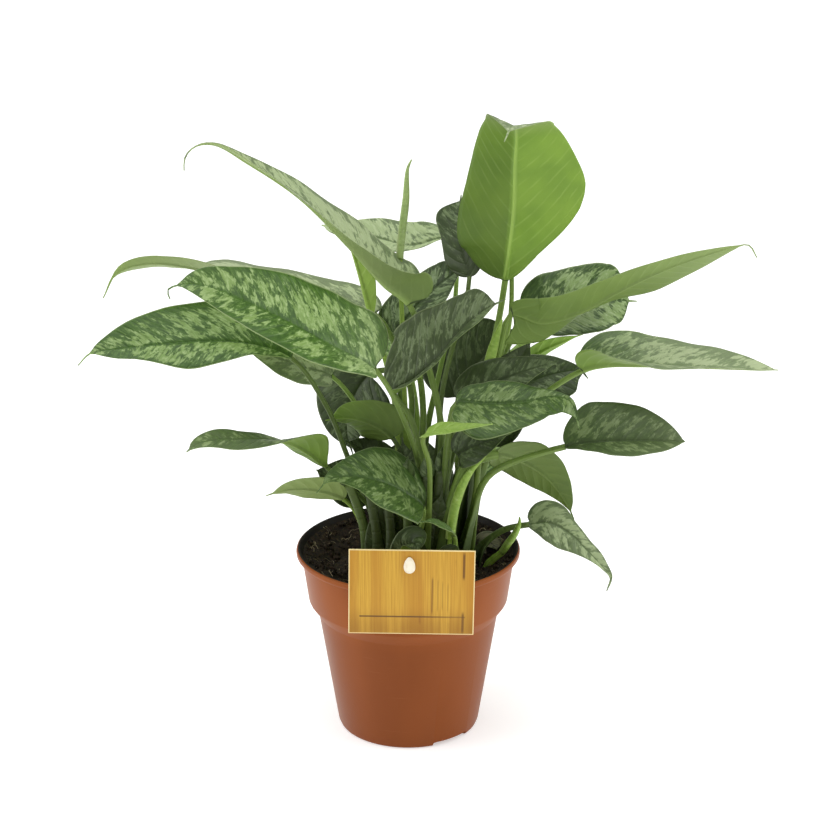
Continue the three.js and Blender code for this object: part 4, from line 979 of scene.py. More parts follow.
        rib=[(86, 84, 212), (95, 106, 212), (102, 124, 204)],
        face=[(-0.1, -0.2, 1), (0, 0.1, 1)],
        half=22, curl=-10, wave=1.5,
    ),
    dict(
        name="leaf_back_centre", slot="leaf_green", root=(9, 18), broad=True,
        stem=[(7, 24, 135), (3, 40, 175), (-1, 52, 190)],
        rib=[(-5, 85, 200), (-8, 115, 194), (-8, 140, 178)],
        face=[(0, 0.1, 1), (0, 0.4, 0.9)],
        half=21, curl=-10, wave=1.5,
    ),
    dict(
        name="leaf_back_left", slot="leaf_green", root=(-4, 15), broad=True,
        stem=[(-10, 21, 130), (-25, 37, 168), (-36, 50, 188)],
        rib=[(-60, 68, 205), (-85, 85, 210), (-108, 100, 202)],
        face=[(0, 0, 1), (-0.2, 0.2, 1)],
        half=20, curl=-10, wave=1.5,
    ),
    dict(
        name="leaf_back_left_low", slot="leaf_green", root=(-5, 21),
        stem=[(-10, 29, 118), (-22, 42, 138), (-30, 52, 147)],
        rib=[(-35, 72, 151), (-38, 95, 145), (-38, 118, 130)],
        face=[(0, 0, 1), (0, 0.5, 0.9)],
        half=16, curl=-10,
    ),
    dict(
        name="leaf_back_right", slot="leaf_green", root=(28, 18),
        stem=[(38, 22, 130), (52, 25, 160), (60, 28, 171)],
        rib=[(74, 42, 179), (84, 56, 177), (90, 66, 168)],
        face=[(0, 0, 1), (0.3, 0.3, 1)],
        half=13, curl=-10,
    ),
    dict(
        name="leaf_back_low_right", slot="leaf_green", root=(21, 25),
        stem=[(26, 34, 112), (36, 46, 124)],
        rib=[(42, 68, 132), (47, 90, 129), (50, 110, 118)],
        face=[(0, 0, 1), (0.1, 0.5, 0.9)],
        half=15, curl=-10, lobe=0.1,
    ),
    dict(
        name="leaf_back_low", slot="leaf_shade", root=(4, 26), broad=True,
        stem=[(3, 36, 100), (3, 44, 104)],
        rib=[(3, 49, 112), (2, 51, 128), (2, 52, 142), (1, 51, 152)],
        face=[(0, -1, 0.1), (0, -1, 0.1)],
        half=23, fold=[8, 8], curl=-5, peak=0.45, lobe=0.3, silver=0.2, painted_shade=0.9,
    ),
]

# %% The small low leaves: where they grow
LOW_LEAF = dict(slot="leaf_shade", fold=[10, 10], curl=-5, wave=0.5)
SHADED_LEAVES = [
    dict(
        name="low_leaf_left", root=(-8, -16),
        stem=[(-8, -20, 97)],
        rib=[(-9, -22, 110), (-12, -24, 126), (-14, -26, 142)],
        face=[(0, -1, 0.15), (0, -1, 0.15)],
        half=14, silver=0.25, painted_shade=0.85,
    ),
    dict(
        name="low_leaf_right", root=(10, -20),
        stem=[(11, -24, 97)],
        rib=[(13, -26, 112), (15, -28, 128), (18, -30, 146)],
        face=[(0, -1, 0.15), (0, -1, 0.15)],
        half=13, silver=0.25, painted_shade=0.85,
    ),
    dict(
        name="low_leaf_middle", root=(1, -14),
        stem=[(0, -15, 110), (-1, -15, 128)],
        rib=[(-2, -14, 143), (-2, -13, 156), (-3, -12, 168)],
        face=[(0, -1, 0.2), (0, -1, 0.2)],
        half=14, silver=0.3, painted_shade=0.75,
    ),
    dict(
        name="low_fold_left", root=(2, -28),
        stem=[(2, -33, 100)],
        rib=[(2, -37, 112), (3, -41, 120), (4, -46, 122), (5, -50, 117)],
        face=[(0, -0.6, 0.8), (0, -0.9, 0.5)],
        half=12, silver=0.35, painted_shade=0.5,
        left=[1, 1, 1, 1.2, 1.6, 2.5],
        right=[1, 1, 1, 1.2, 1.6, 2.5],
    ),
    dict(
        name="low_fold_right", root=(21, -28),
        stem=[(21, -33, 98)],
        rib=[(21, -37, 108), (22, -41, 114), (23, -46, 115), (23, -49, 111)],
        face=[(0, -0.6, 0.8), (0, -0.9, 0.5)],
        half=7, silver=0.35, painted_shade=0.5,
        left=[1, 1, 1, 1.2, 1.6, 2.5],
        right=[1, 1, 1, 1.2, 1.6, 2.5],
    ),
    dict(
        name="low_leaf_centre", root=(27, 2),
        stem=[(36, 3, 140), (40, 4, 160)],
        rib=[(44, 5, 174), (50, 6, 189), (58, 6, 204), (66, 6, 218)],
        face=[(0, -1, 0.3), (0, -1, 0.3)],
        half=18, silver=0.3, painted_shade=0.85,
    ),
    dict(
        name="low_leaf_back", root=(-8, 2),
        stem=[(-9, 2, 120), (-12, 2, 138)],
        rib=[(-18, 1, 150), (-26, 0, 158), (-34, -1, 162)],
        face=[(0, -0.6, 0.8), (0, -0.6, 0.8)],
        half=13, silver=0.3, painted_shade=0.9,
    ),
]

SHORT_STEM = dict(slot="leaf_green", face=[(0, -1, 0.1), (0, -1, 0.2)], half=4, fold=[20, 20], wave=0)
SHORT_STEMS = [
    dict(
        root=(-20, -16), stout=1.9, foot=1.0, painted_shade=0.8,
        stem=[(-21, -18, 105), (-24, -20, 125), (-31, -22, 146)], rib=[(-34, -22, 152), (-37, -22, 158)],
    ),
    dict(
        root=(-14, -20), stout=2.1, foot=1.3, painted_shade=0.8,
        stem=[(-15, -22, 105), (-17, -24, 125), (-21, -25, 148)], rib=[(-23, -25, 154), (-25, -25, 160)],
    ),
    dict(
        root=(-7, -23), stout=2, foot=1.35, painted_shade=0.9,
        stem=[(-8, -25, 105), (-9, -26, 125), (-11, -27, 150)], rib=[(-11, -27, 156), (-12, -27, 162)],
    ),
    dict(
        root=(0, -26), stout=1.8, foot=1.15, painted_shade=0.9,
        stem=[(0, -28, 105), (0, -29, 128), (0, -30, 152)], rib=[(0, -30, 158), (0, -30, 164)],
    ),
    dict(
        root=(7, -24), stout=2.1, foot=1.35, painted_shade=0.9,
        stem=[(8, -26, 105), (9, -27, 128), (10, -28, 152)], rib=[(10, -28, 158), (11, -28, 166)],
    ),
    dict(
        root=(13, -21), stout=2, foot=1.25, painted_shade=0.8,
        stem=[(14, -23, 105), (15, -24, 130), (17, -25, 154)], rib=[(18, -25, 162), (19, -25, 170)],
    ),
]

ROLLED_LEAVES = [
    dict(
        name="rolled_leaf_front", slot="leaf_young", root=(20, -25), rolled=True,
        stem=[(21, -28, 105), (22, -30, 118)],
        rib=[(23, -31, 128), (25, -32, 139), (28, -33, 149), (33, -33, 158), (40, -32, 165)],
        face=[(0, -1, 0)],
        half=3,
    ),
    dict(
        name="rolled_leaf_middle", slot="leaf_young", root=(30, -12), rolled=True,
        stem=[(34, -13, 120), (38, -13, 165), (40, -12, 190)],
        rib=[(41.5, -12, 205), (44, -12, 218), (48, -14, 232)],
        face=[(0, -1, 0)],
        half=3.4, foot=0.8,
    ),
]

shaded_leaves = [{**LOW_LEAF, **leaf} for leaf in SHADED_LEAVES]
short_stems = [{**SHORT_STEM, **leaf, "name": f"low_stem_{k}"} for k, leaf in enumerate(SHORT_STEMS, 1)]
LOW_LEAVES = [*shaded_leaves, *short_stems, *ROLLED_LEAVES]
print("leaves:", len(LEAVES), "and small low ones:", len(LOW_LEAVES))

# %% [markdown]
# ## The leaves: the line that each one grows along
# A smooth curve goes through all the points of stem and rib. It is sampled closely once, and then read by
# its length, so that the rings of the mesh can be spread as the shape needs.

# %% The line that a leaf grows along
SAMPLES = 24
ROOT_DEPTH = 9
UPRIGHT_FOOT = 2
LOOK_AHEAD = 0.6


def curve_through(points):
    """A smooth curve through the points, as many closely spaced points, with the place of each one in it."""
    p = np.array(points, float)
    p = np.vstack([2 * p[0] - p[1], p, 2 * p[-1] - p[-2]])
    t = np.linspace(0, 1, SAMPLES, endpoint=False)[:, None]
    pieces = []
    for a, b, c, d in zip(p[:-3], p[1:-2], p[2:-1], p[3:]):
        before, here, after = (np.linalg.norm(v) ** 0.5 for v in (b - a, c - b, d - c))
        leave = ((b - a) / before - (c - a) / (before + here) + (c - b) / here) * here
        arrive = ((c - b) / here - (d - b) / (here + after) + (d - c) / after) * here
        pieces.append(
            (2 * t**3 - 3 * t**2 + 1) * b + (t**3 - 2 * t**2 + t) * leave
            + (3 * t**2 - 2 * t**3) * c + (t**3 - t**2) * arrive
        )
    return np.vstack([*pieces, p[-2:-1]])


class Spine:
    """Stem and rib of a leaf. Places on it are given by length in millimetres from the root."""

    def __init__(self, leaf):
        x, y = leaf["root"]
        stem = [(x, y, SOIL_TOP - ROOT_DEPTH), (x, y, SOIL_TOP + UPRIGHT_FOOT), *leaf["stem"]]
        self.points = curve_through([*stem, *leaf["rib"]])
        steps = np.linalg.norm(np.diff(self.points, axis=0), axis=1)
        self.run = np.concatenate([[0], np.cumsum(steps)])
        self.joint = self.run[SAMPLES * (len(stem) - 1)]
        self.end = self.run[-1]

    def at(self, length):
        return np.array([np.interp(length, self.run, self.points[:, k]) for k in range(3)])

    def along(self, length):
        way = self.at(min(length + LOOK_AHEAD, self.end)) - self.at(max(length - LOOK_AHEAD, 0))
        return way / np.linalg.norm(way)


# %% Values along a leaf
def spread(values, v):
    """Reads a list of values spread evenly from the joint to the tip, rounded a little at its corners."""
    values = np.array(values, float)
    if len(values) == 1:
        return values[0]
    total = 0
    for shift in (-0.05, 0, 0.05):
        place = np.clip(v + shift, 0, 1) * (len(values) - 1)
        low = min(int(place), len(values) - 2)
        total = total + values[low] + (values[low + 1] - values[low]) * (place - low)
    return total / 3


def square(up, along):
    """The way up, turned so that it stands square to the line."""
    up = up - along * np.dot(up, along)
    return up / np.linalg.norm(up)


# %% [markdown]
# ## The leaves: rings
# A leaf is lofted: ring after ring across it, from the foot of the stem to the thread at the tip, all with
# the same number of points. On the blade a ring has a shallow groove over the rib and a round ridge below
# it, thins out to the margin, and swells softly between the side veins. Lower down the stem opens into a
# sheath that clasps the next stem. A young leaf is still rolled up, so its rings are one turn of a scroll.

# %% How wide a blade is
TIP_HALF_WIDTH = 0.55


def smooth_step(value, start, end):
    """Goes smoothly from zero to one while the value goes from start to end."""
    t = np.clip((value - start) / (end - start), 0, 1)
    return t * t * (3 - 2 * t)


def outline(leaf, v):
    """Half the blade's width as a share of its greatest."""
    full = min(v / (1 - leaf["drip"]), 1)
    power = np.log(0.5) / np.log(leaf["peak"])
    return max(sin(pi * full**power), 0) ** 0.75 * (1 - 0.35 * full**6)


def side_width(leaf, v, name):
    """How far one side of the blade reaches out from the rib."""
    tip_width = TIP_HALF_WIDTH * (1 - 0.5 * smooth_step(v, 0.93, 1))
    width = leaf["half"] * outline(leaf, v) * spread(leaf[name], v)
    return max(width, tip_width)


# %% A ring across the blade
SIDE_COLUMNS = 15
RIB_COLUMNS = 3
BLADE_HALF_THICK = 0.26
MARGIN_HALF_THICK = 0.13
RIB_HALF_WIDTH = 1.5
RIB_NARROWS = 1.1
RIB_GROOVE = 0.4
RIB_RIDGE = 1.9
RIDGE_LOSS = 1.4
VEIN_SPACING = 7.0
VEIN_SLANT = 0.75
VEIN_BEND = 0.35
QUILT = 0.16
WAVES = 9
RIPPLES = 31


def margin_waves(height, v, out, phase):
    """Long waves and short ripples that grow towards the margin."""
    wave = height * out**2 * sin(pi * v) * np.sin(WAVES * v + phase)
    fading = smooth_step(v, 0.03, 0.2)
    wave += 0.3 * height * out**3 * fading * (1 - v) * np.sin(RIPPLES * v + 3 * phase)
    return wave


def blade_ring(leaf, v, length):
    """Top and bottom points across the blade, and the place of each column on the leaf."""
    left, right = side_width(leaf, v, "left"), side_width(leaf, v, "right")
    rib = min(RIB_HALF_WIDTH - RIB_NARROWS * v**0.5, 0.45 * min(left, right))
    shares = np.linspace(0, 1, SIDE_COLUMNS - RIB_COLUMNS + 1)[1:]
    near = rib * np.linspace(0, 1, RIB_COLUMNS + 1)
    left_columns = np.concatenate([near, rib + (left - rib) * shares])
    right_columns = np.concatenate([near, rib + (right - rib) * shares])
    d = np.concatenate([-left_columns[:0:-1], right_columns])
    width = np.where(d > 0, right, left)
    sign, dist = np.sign(d), np.abs(d)
    out = dist / width
    fold, curl = radians(spread(leaf["fold"], v)), radians(leaf["curl"])
    chord, tilt = fold + curl * out / 2, fold + curl * out
    wave = margin_waves(leaf["wave"], v, out, np.where(d > 0, 1.4, 0))
    vein = (v * length - VEIN_SLANT * dist - VEIN_BEND * dist * out) / VEIN_SPACING
    on_side = smooth_step(dist, rib, rib + 4) * (1 - smooth_step(out, 0.7, 1))
    quilt = -QUILT * np.cos(2 * pi * vein) * on_side
    quilt = quilt * smooth_step(v, 0.02, 0.1) * (1 - smooth_step(v, 0.8, 0.93))
    rib_share = np.clip(1 - (dist / rib) ** 2, 0, 1)
    thick = BLADE_HALF_THICK + (MARGIN_HALF_THICK - BLADE_HALF_THICK) * out**3
    above = thick + quilt - RIB_GROOVE * (1 - v) * rib_share
    ridge = (RIB_RIDGE - RIDGE_LOSS * v**0.5) * rib_share**0.5 * min(1, min(left, right) / 4)
    below = thick - quilt + ridge
    side, up = d * np.cos(chord), dist * np.sin(chord) + wave
    steer = np.clip(dist / (0.6 * rib + 0.01), 0, 1)
    normal_side, normal_up = -sign * np.sin(tilt) * steer, np.cos(tilt * steer)
    back = leaf["skew"] * d - leaf["lobe"] * width * (1 - v) ** 4 * out**2
    top = np.stack([side + normal_side * above, up + normal_up * above, back], 1)
    bottom = np.stack([side - normal_side * below, up - normal_up * below, back], 1)
    return top, bottom, vein * VEIN_SPACING, d, out


# %% Rings of a stem and of a rolled leaf
# The radius at the foot and at the joint, and how far the sheath opens
BROAD_STEM = (2.3, 1.6, 3.2)
NARROW_STEM = (1.8, 1.2, 2.0)


def stem_ring(leaf, share):
    """A round stem that widens into a clasping sheath towards its foot."""
    foot, joint, sheath = BROAD_STEM if leaf["broad"] else NARROW_STEM
    radius = (foot + (joint - foot) * share**0.6) * leaf["stout"]
    open_up = leaf.get("sheath", sheath) * (1 - smooth_step(share, 0.1, 0.62)) * smooth_step(share, 0, 0.06)
    columns = 2 * SIDE_COLUMNS + 1
    angle = pi * (1 - (np.arange(columns) + 0.5) / columns)
    x, y = np.cos(angle), np.sin(angle)
    wing = open_up * np.abs(x) ** 3
    side = (radius + wing * 0.9) * x
    lift = wing * 1.1
    hollow = 0.55 * radius * smooth_step(open_up, 0, 2.0) + 0.25 * radius * share
    top_y = radius * y - hollow * np.clip(1 - (x / 0.8) ** 2, 0, 1) + lift
    bottom_y = -radius * y + lift
    flat = np.zeros(columns)
    return np.stack([side, top_y, flat], 1), np.stack([side, bottom_y, flat], 1), radius * x


def rolled_ring(leaf, v):
    """One turn of a scroll, so that the free margin stands out as a line up the young leaf."""
    swell = max(sin(pi * (0.35 + 0.62 * v)), 0) ** 0.8
    radius = max(leaf["half"] * swell, 0.35)
    columns = 2 * SIDE_COLUMNS + 1
    angle = pi * (1 - (np.arange(columns) + 0.5) / columns)
    rows = []
    for theta in (angle, 2 * pi - angle):
        r = radius * (0.78 + 0.22 * theta / (2 * pi))
        turned = theta - 1.1 + 1.6 * v
        rows.append(np.stack([r * np.cos(turned), r * np.sin(turned), np.zeros(columns)], 1))
    return rows[0], rows[1], radius * np.cos(angle)


# %% [markdown]
# ## The leaves: the mesh
# The rings are set square to the spine and joined into one closed skin. Six values are stored on each
# point for the finishes, so that the patterns follow each leaf however it bends. flat is its place on the
# leaf laid out flat, spot how far out and how far along it is and on which side, silver_shade_pale how
# silver its leaf is, how much painted shade darkens it and how pale it is, partly by painted sheen, run its
# place between the side veins, stem whether it is stem or blade, and shade how much painted shade it has.

# %% The rings in their places
BROAD_RINGS = 76
NARROW_RINGS = 52
STEM_RINGS = 24
SEED_STEP = 31.7


def blade_places(count):
    """Shares of the blade with rings closer together at the joint, where its outline opens fast."""
    t = np.linspace(0, 1, count + 1)[1:]
    return 0.35 * t**2.2 + 0.65 * t


def ring_rows(leaf):
    spine = Spine(leaf)
    length = spine.end - spine.joint
    up = square(spread(leaf["face"], 0), spine.along(spine.joint))
    rows = []
    for k in range(STEM_RINGS, -1, -1):
        share = k / STEM_RINGS
        at = spine.joint * share
        along = spine.along(at)
        up = square(up, along)
        top, bottom, across = stem_ring(leaf, share)
        run = np.full(len(across), at - spine.joint)
        rows.insert(0, (at, up, top, bottom, run, across, np.abs(across) * 0, 1.0 + share))
    for v in blade_places(BROAD_RINGS if leaf["broad"] else NARROW_RINGS):
        at = spine.joint + v * length
        up = square(spread(leaf["face"], v), spine.along(at))
        if leaf["rolled"]:
            top, bottom, across = rolled_ring(leaf, v)
            rows.append((at, up, top, bottom, np.full(len(across), v * length), across, 0 * across, 0.0))
            continue
        top, bottom, vein, d, out = blade_ring(leaf, v, length)
        rows.append((at, up, top, bottom, vein, d, out, 0.0))
    return spine, rows


def leaf_points(leaf, seed):
    """The points of all rings in place, with the values that the finishes read."""
    spine, rows = ring_rows(leaf)
    places, flats, runs, spots, stems = [], [], [], [], []
    for at, up, top, bottom, vein, d, out, stem in rows:
        along = spine.along(at)
        turn = np.array([np.cross(along, up), up, along])
        centre = spine.at(at)
        v = np.clip((at - spine.joint) / (spine.end - spine.joint), 0, 1)
        for upper, row in ((1.0, top), (0.0, bottom)):
            places.append(centre + row @ turn)
            same = np.ones(len(d))
            flats.append(np.stack([same * (at - spine.joint), d, same * (seed * SEED_STEP)], 1))
            runs.append(vein)
            spots.append(np.stack([out, same * v, same * upper], 1))
            stems.append(same * stem)
    return (np.concatenate(x) for x in (places, flats, runs, spots, stems))


# %% The skin over the rings
def skin_faces(rings, columns):
    """Quads over the top, the bottom, both margins and both ends of the rings."""
    k = np.arange(rings - 1)[:, None]
    c = np.arange(columns - 1)[None, :]
    top, bottom, on = 2 * k * columns + c, (2 * k + 1) * columns + c, 2 * columns
    quads = [np.stack([top, top + 1, top + 1 + on, top + on], -1).reshape(-1, 4)]
    quads.append(np.stack([bottom, bottom + on, bottom + 1 + on, bottom + 1], -1).reshape(-1, 4))
    left, low = 2 * k * columns, (2 * k + 1) * columns
    quads.append(np.stack([left, left + on, low + on, low], -1).reshape(-1, 4))
    end = columns - 1
    quads.append(np.stack([left + end, low + end, low + end + on, left + end + on], -1).reshape(-1, 4))
    c = c.ravel()
    quads.append(np.stack([c, c + columns, c + columns + 1, c + 1], -1))
    last = (rings - 1) * on + c
    quads.append(np.stack([last, last + 1, last + 1 + columns, last + columns], -1))
    return np.concatenate(quads)


# %% One whole leaf
def make_leaf(leaf, seed):
    leaf = {**USUAL_LEAF, **leaf}
    places, flats, runs, spots, stems = leaf_points(leaf, seed)
    columns = 2 * SIDE_COLUMNS + 1
    mesh = bpy.data.meshes.new(leaf["name"] + "_grown")
    rings = len(places) // (2 * columns)
    mesh.from_pydata((places * MM).tolist(), [], skin_faces(rings, columns).tolist())

    def along_blade(key):
        values = leaf[key] if isinstance(leaf[key], list) else [leaf[key]]
        return np.interp(spots[:, 1], np.linspace(0, 1, len(values)), values)

    silver_shade_pale = np.stack([along_blade("silver"), along_blade("painted_shade"), along_blade("pale_and_sheen")], 1)
    # A stem's painted shade comes from foot, when the leaf gives one.
    if "foot" in leaf:
        silver_shade_pale[stems > 0, 1] = leaf["foot"]
    shades = np.where(flats[:, 1] < 0, along_blade("shade_left"), along_blade("shade_right"))
    shades *= smooth_step(np.abs(flats[:, 1]), 0, 3)
    for name, kind, values in (
        ("flat", "FLOAT_VECTOR", flats), ("spot", "FLOAT_VECTOR", spots), ("silver_shade_pale", "FLOAT_VECTOR", silver_shade_pale),
        ("run", "FLOAT", runs), ("stem", "FLOAT", stems), ("shade", "FLOAT", shades),
    ):
        field = "value" if kind == "FLOAT" else "vector"
        layer = mesh.attributes.new(name, kind, "POINT")
        layer.data.foreach_set(field, values.astype(np.float32).ravel())
    mesh.polygons.foreach_set("use_smooth", [True] * len(mesh.polygons))
    piece = bpy.data.objects.new(mesh.name, mesh)
    bpy.context.scene.collection.objects.link(piece)
    return piece


# %% [markdown]
# ## The finish of the leaves
# The upper side is deep green with silver-green mottling. The patches follow the side veins and thin out
# towards the rib and the margin, which keeps a hair-fine pale edge. The lower side is plain light green
# with paler veins, and the stem is streaked, with painted shade that darkens it at its foot. One recipe
# makes all five leaf finishes: it takes the colours, and reads from each point how silver its leaf is, how
# much painted shade darkens it and how pale it is, partly by its tone and partly by painted sheen.

# %% The marks that the leaf patterns share
def read_marks(bench):
    """The values stored on the points of a leaf, the noises along its veins, and the line of each vein."""
    marks = SimpleNamespace(flat=bench.attribute("flat"))
    marks.out, _, marks.upper = bench.parts(bench.attribute("spot"))
    marks.silver, marks.painted_shade, marks.pale_and_sheen = bench.parts(bench.attribute("silver_shade_pale"))
    marks.stem = bench.attribute("stem", "Fac")
    run = bench.attribute("run", "Fac")
    along, across, seed = bench.parts(marks.flat)
    slanting = bench.mix_value(0.7, along, run)
    slant = bench.add("ShaderNodeCombineXYZ", {0: slanting, 1: across, 2: seed}).outputs[0]
    marks.torn = bench.noise(bench.stretch(slant, (0.2, 0.12, 1)), detail=1.5, roughness=0.5)
    fine = bench.stretch(slant, (0.5, 0.32, 1), (5, 0, 3))
    marks.ragged = bench.noise(fine, detail=4, roughness=0.68, distortion=0.5)
    marks.drift = bench.noise(bench.stretch(marks.flat, (0.06, 0.05, 1), (0, 9, 0)), detail=2)
    phase = bench.math("PINGPONG", bench.math("DIVIDE", run, VEIN_SPACING), 0.5)
    marks.vein = bench.rise(phase, 0.0, 0.16, 1, 0)
    return marks


def mottling(bench, marks):
    """How silver a point is: torn patches with ragged edges, with less room at the rib and the margin."""
    patches = bench.math("MULTIPLY", marks.torn, 0.48)
    edges = bench.math("MULTIPLY", marks.ragged, 0.52)
    level = bench.math("ADD", patches, edges)
    level = bench.math("ADD", level, bench.rise(marks.drift, 0.3, 0.7, -0.05, 0.05))
    room = bench.math("MULTIPLY", bench.rise(marks.out, 0.0, 0.14), bench.rise(marks.out, 0.7, 1.0, 1, 0))
    level = bench.math("ADD", level, bench.math("MULTIPLY", bench.math("SUBTRACT", room, 1), 0.13))
    start = bench.math("MULTIPLY_ADD", marks.silver, -0.2, 0.58)
    above = bench.math("SUBTRACT", level, start)
    blurred = bench.rise(above, -0.07, 0.04, 0, 0.28)
    return bench.math("MAXIMUM", bench.rise(above, -0.01, 0.05, 0, 0.85), blurred)


# %% The sides of a leaf and its stem
def upper_side(bench, marks, deep, fresh, silver):
    mottled = mottling(bench, marks)
    green = bench.mix(bench.rise(marks.ragged, 0.35, 0.65), linear(deep), linear(fresh))
    pale = bench.mix(bench.rise(marks.ragged, 0.45, 0.68), linear(silver[0]), linear(silver[1]))
    side = bench.mix(mottled, green, pale)
    side = bench.mix(bench.math("MULTIPLY", marks.vein, 0.15), side, linear(deep))
    # Painted shade: the leaf's painted_shade value darkens the upper side towards a deep olive.
    side = bench.mix(bench.math("MULTIPLY", marks.painted_shade, 0.8), side, linear("3A4527"))
    # Paler towards B0BC94: partly a paler tone of the leaf and partly painted sheen.
    paler_share = bench.math("MULTIPLY", marks.pale_and_sheen, bench.math("MULTIPLY_ADD", mottled, 0.6, 0.4))
    side = bench.mix(paler_share, side, linear("B0BC94"))
    bright = bench.math("MULTIPLY_ADD", marks.painted_shade, -0.55, 0.55)
    margin = bench.math("MULTIPLY", bench.rise(marks.out, 0.965, 0.995), bright)
    return bench.mix(margin, side, linear("B9C695"))


def lower_side(bench, marks, below):
    rib = bench.rise(marks.out, 0.0, 0.05, 1, 0)
    faint = bench.math("MULTIPLY", marks.vein, bench.rise(marks.torn, 0.35, 0.65, 0.02, 0.3))
    pale_vein = bench.math("MAXIMUM", faint, bench.math("MULTIPLY", rib, 0.6))
    soft = bench.mix(bench.rise(marks.drift, 0.15, 0.85), linear(below[0]), linear(below[1]))
    side = bench.mix(pale_vein, soft, linear(below[2]))
    # Painted shade darkens the lower side in the same way.
    side = bench.mix(bench.math("MULTIPLY", marks.painted_shade, 0.8), side, linear("3F4C24"))
    # The lower side is made paler the same way, partly tone and partly painted sheen.
    return bench.mix(bench.math("MULTIPLY", marks.pale_and_sheen, 0.9), side, linear("93A070"))


def stem_side(bench, marks, stalk):
    streak = bench.noise(bench.stretch(marks.flat, (0.04, 3.0, 1)), detail=2)
    side = bench.mix(bench.rise(streak, 0.35, 0.65), linear(stalk[0]), linear(stalk[1]))
    # Painted shade: the stem darkens to the third stalk colour towards its foot, and the foot value darkens
    # it further.
    side = bench.mix(bench.rise(marks.stem, 1.15, 1.7, 0.9, 0), side, linear(stalk[2]))
    return bench.mix(bench.math("MULTIPLY", marks.painted_shade, 0.7), side, linear("333D20"))


# %% One finish from the parts
def leaf_finish(name, deep, fresh, silver, below, stalk):
    bench = Bench(name)
    marks = read_marks(bench)
    top_side = upper_side(bench, marks, deep, fresh, silver)
    colour = bench.mix(marks.upper, lower_side(bench, marks, below), top_side)
    colour = bench.mix(bench.attribute("shade", "Fac"), colour, linear("1C2A0C"))
    colour = bench.mix(bench.rise(marks.stem, 0.2, 0.9), colour, stem_side(bench, marks, stalk))
    furrow = bench.math("MULTIPLY", marks.vein, bench.math("MULTIPLY_ADD", marks.upper, -0.75, 0.25))
    height = bench.math("ADD", furrow, bench.math("MULTIPLY", marks.ragged, 0.25))
    bench.bump(height, 0.0005, 0.6)
    uneven = bench.rise(marks.drift, 0.3, 0.7, 0.38, 0.48)
    gloss = bench.math("ADD", uneven, bench.rise(marks.upper, 0, 1, 0.12, 0))
    return bench.finish(colour, gloss, Specular_IOR_Level=0.28)


# %% The five leaf finishes
UNDERSIDE = ("6C8E30", "84A63E", "A2BF62")
# The third stalk colour is the painted shade at the foot of a stem.
STALK = ("6C8638", "86A24E", "2E3D1E")
leaf_looks = {
    "leaf_green": leaf_finish("green_leaf", "335119", "486A23", ("7A9650", "9FB67A"), UNDERSIDE, STALK),
    "leaf_pale": leaf_finish("pale_leaf", "30491C", "466228", ("849D5E", "A3B683"), UNDERSIDE, STALK),
    # The dark finish is a copy of the green one with darker, greyer colours: painted shade for leaves deep
    # in the clump.
    "leaf_shade": leaf_finish("shaded_copy_leaf", "2A3A18", "384C20", ("62764A", "82936A"), UNDERSIDE, STALK),
    "leaf_young": leaf_finish(
        "young_leaf", "7A9A3C", "8CAA4A", ("98B45A", "A8C070"), ("7F9E3E", "93B04E", "AEC473"),
        ("8AAA40", "A0BE56", "76943A"),
    ),
    "leaf_old": leaf_finish(
        "withered_leaf", "33361F", "4A4A30", ("5C5A3E", "6A6446"), ("4A4630", "5A5438", "6A6446"), STALK
    ),
}

print("leaf finishes:", ", ".join(leaf_looks))

# %% Grow the leaves
leaf_faces = 0
for number, leaf in enumerate(LEAVES):
    piece = make_leaf(leaf, number)
    stand_in(piece, leaf["name"], leaf_looks[leaf["slot"]], leaf["slot"])
    leaf_faces += len(piece.data.polygons)
print("leaves:", len(LEAVES), "faces:", leaf_faces)

# %% [markdown]
# ## Small low leaves
# Between the stems of such a plant stand short leaves and stems that never reach the light, and rolled
# young leaves. They are grown by the same recipe, and their high painted_shade and foot values darken the
# short leaves and stems as painted shade. They are small and half hidden, so no solid stands for them.

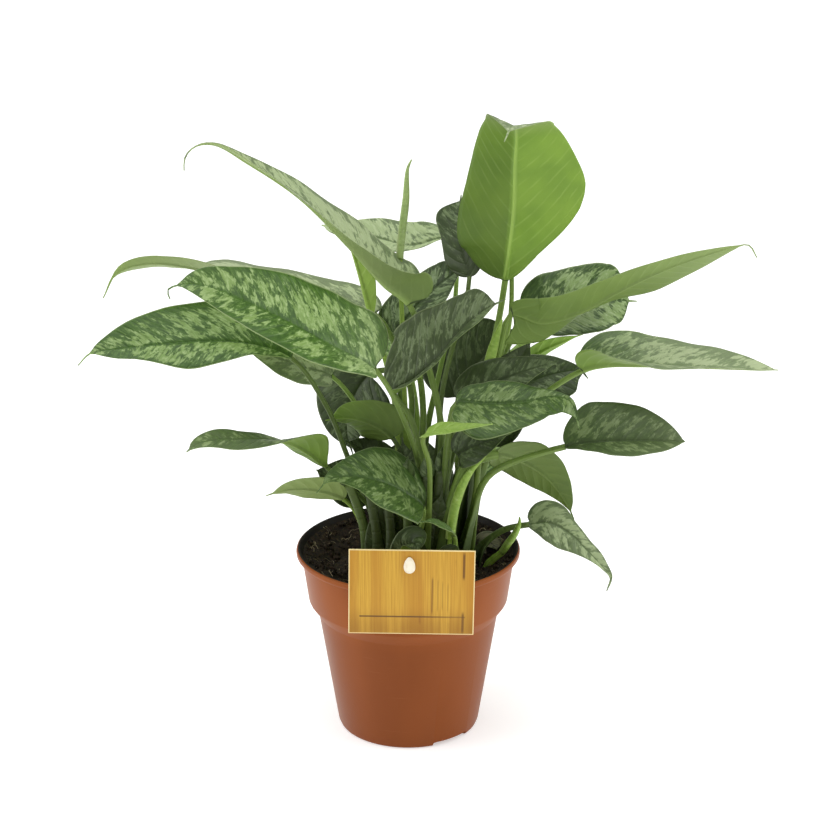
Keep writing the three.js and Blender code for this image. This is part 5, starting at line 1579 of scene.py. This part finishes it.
# %% Small low leaves
for number, leaf in enumerate(LOW_LEAVES):
    piece = make_leaf(leaf, len(LEAVES) + number)
    piece.data.materials.append(leaf_looks[leaf["slot"]])
    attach(piece, "root")
print("low leaves:", len(LOW_LEAVES))

# %% [markdown]
# ## Floor and light
# The plant stands on a plain near-white floor that glows a little. A wide soft light hangs above it, two
# equal soft boxes stand at its sides, and a pale sky is all round, as in a small studio. The shadows stay
# soft.

# %% Floor and light
FLOOR_SIZE = 24
FLOOR_GLOW = 0.45
CEILING_PLACE = (-0.15, 0.1, 2)
CEILING_SPREAD = 75
CEILING_POWER = 2.3
BOX_PLACE = (1.3, -0.2, 0.6)
BOX_POWER = 9
SKY_STRENGTH = 0.4


def make_floor():
    start_afresh()
    bpy.ops.mesh.primitive_plane_add(size=FLOOR_SIZE, location=(0, 0, 0))
    floor = bpy.context.object
    floor.name = "studio_floor"
    bench = Bench("studio_white")
    haze = bench.noise(bench.stretch(bench.place(), (2, 2, 2)), detail=1)
    colour = bench.mix(haze, (0.74, 0.74, 0.74, 1), (0.76, 0.76, 0.76, 1))
    glow = {"Emission_Color": (1, 1, 1, 1), "Emission_Strength": FLOOR_GLOW}
    floor.data.materials.append(bench.finish(colour, 0.9, Specular_IOR_Level=0.1, **glow))


def add_light(name, kind, place, aim, power, **settings):
    light = bpy.data.lights.new(name, kind)
    light.energy = power
    for key, value in settings.items():
        setattr(light, key, value)
    holder = bpy.data.objects.new(name, light)
    holder.location = place
    holder.rotation_euler = (Vector(aim) - Vector(place)).to_track_quat("-Z", "Y").to_euler()
    bpy.context.scene.collection.objects.link(holder)


make_floor()
add_light("ceiling", "SUN", CEILING_PLACE, (0, 0, 0), CEILING_POWER, angle=radians(CEILING_SPREAD))
for name, side in (("left_box", -1), ("right_box", 1)):
    place = (side * BOX_PLACE[0], *BOX_PLACE[1:])
    add_light(name, "AREA", place, (0, 0, 0.1), BOX_POWER, size=1.0)
world = bpy.data.worlds.new("studio")
world.use_nodes = True
sky = world.node_tree.nodes["Background"].inputs
sky["Color"].default_value = (1, 1, 1, 1)
sky["Strength"].default_value = SKY_STRENGTH
bpy.context.scene.world = world
bpy.context.scene.view_settings.view_transform = "Standard"
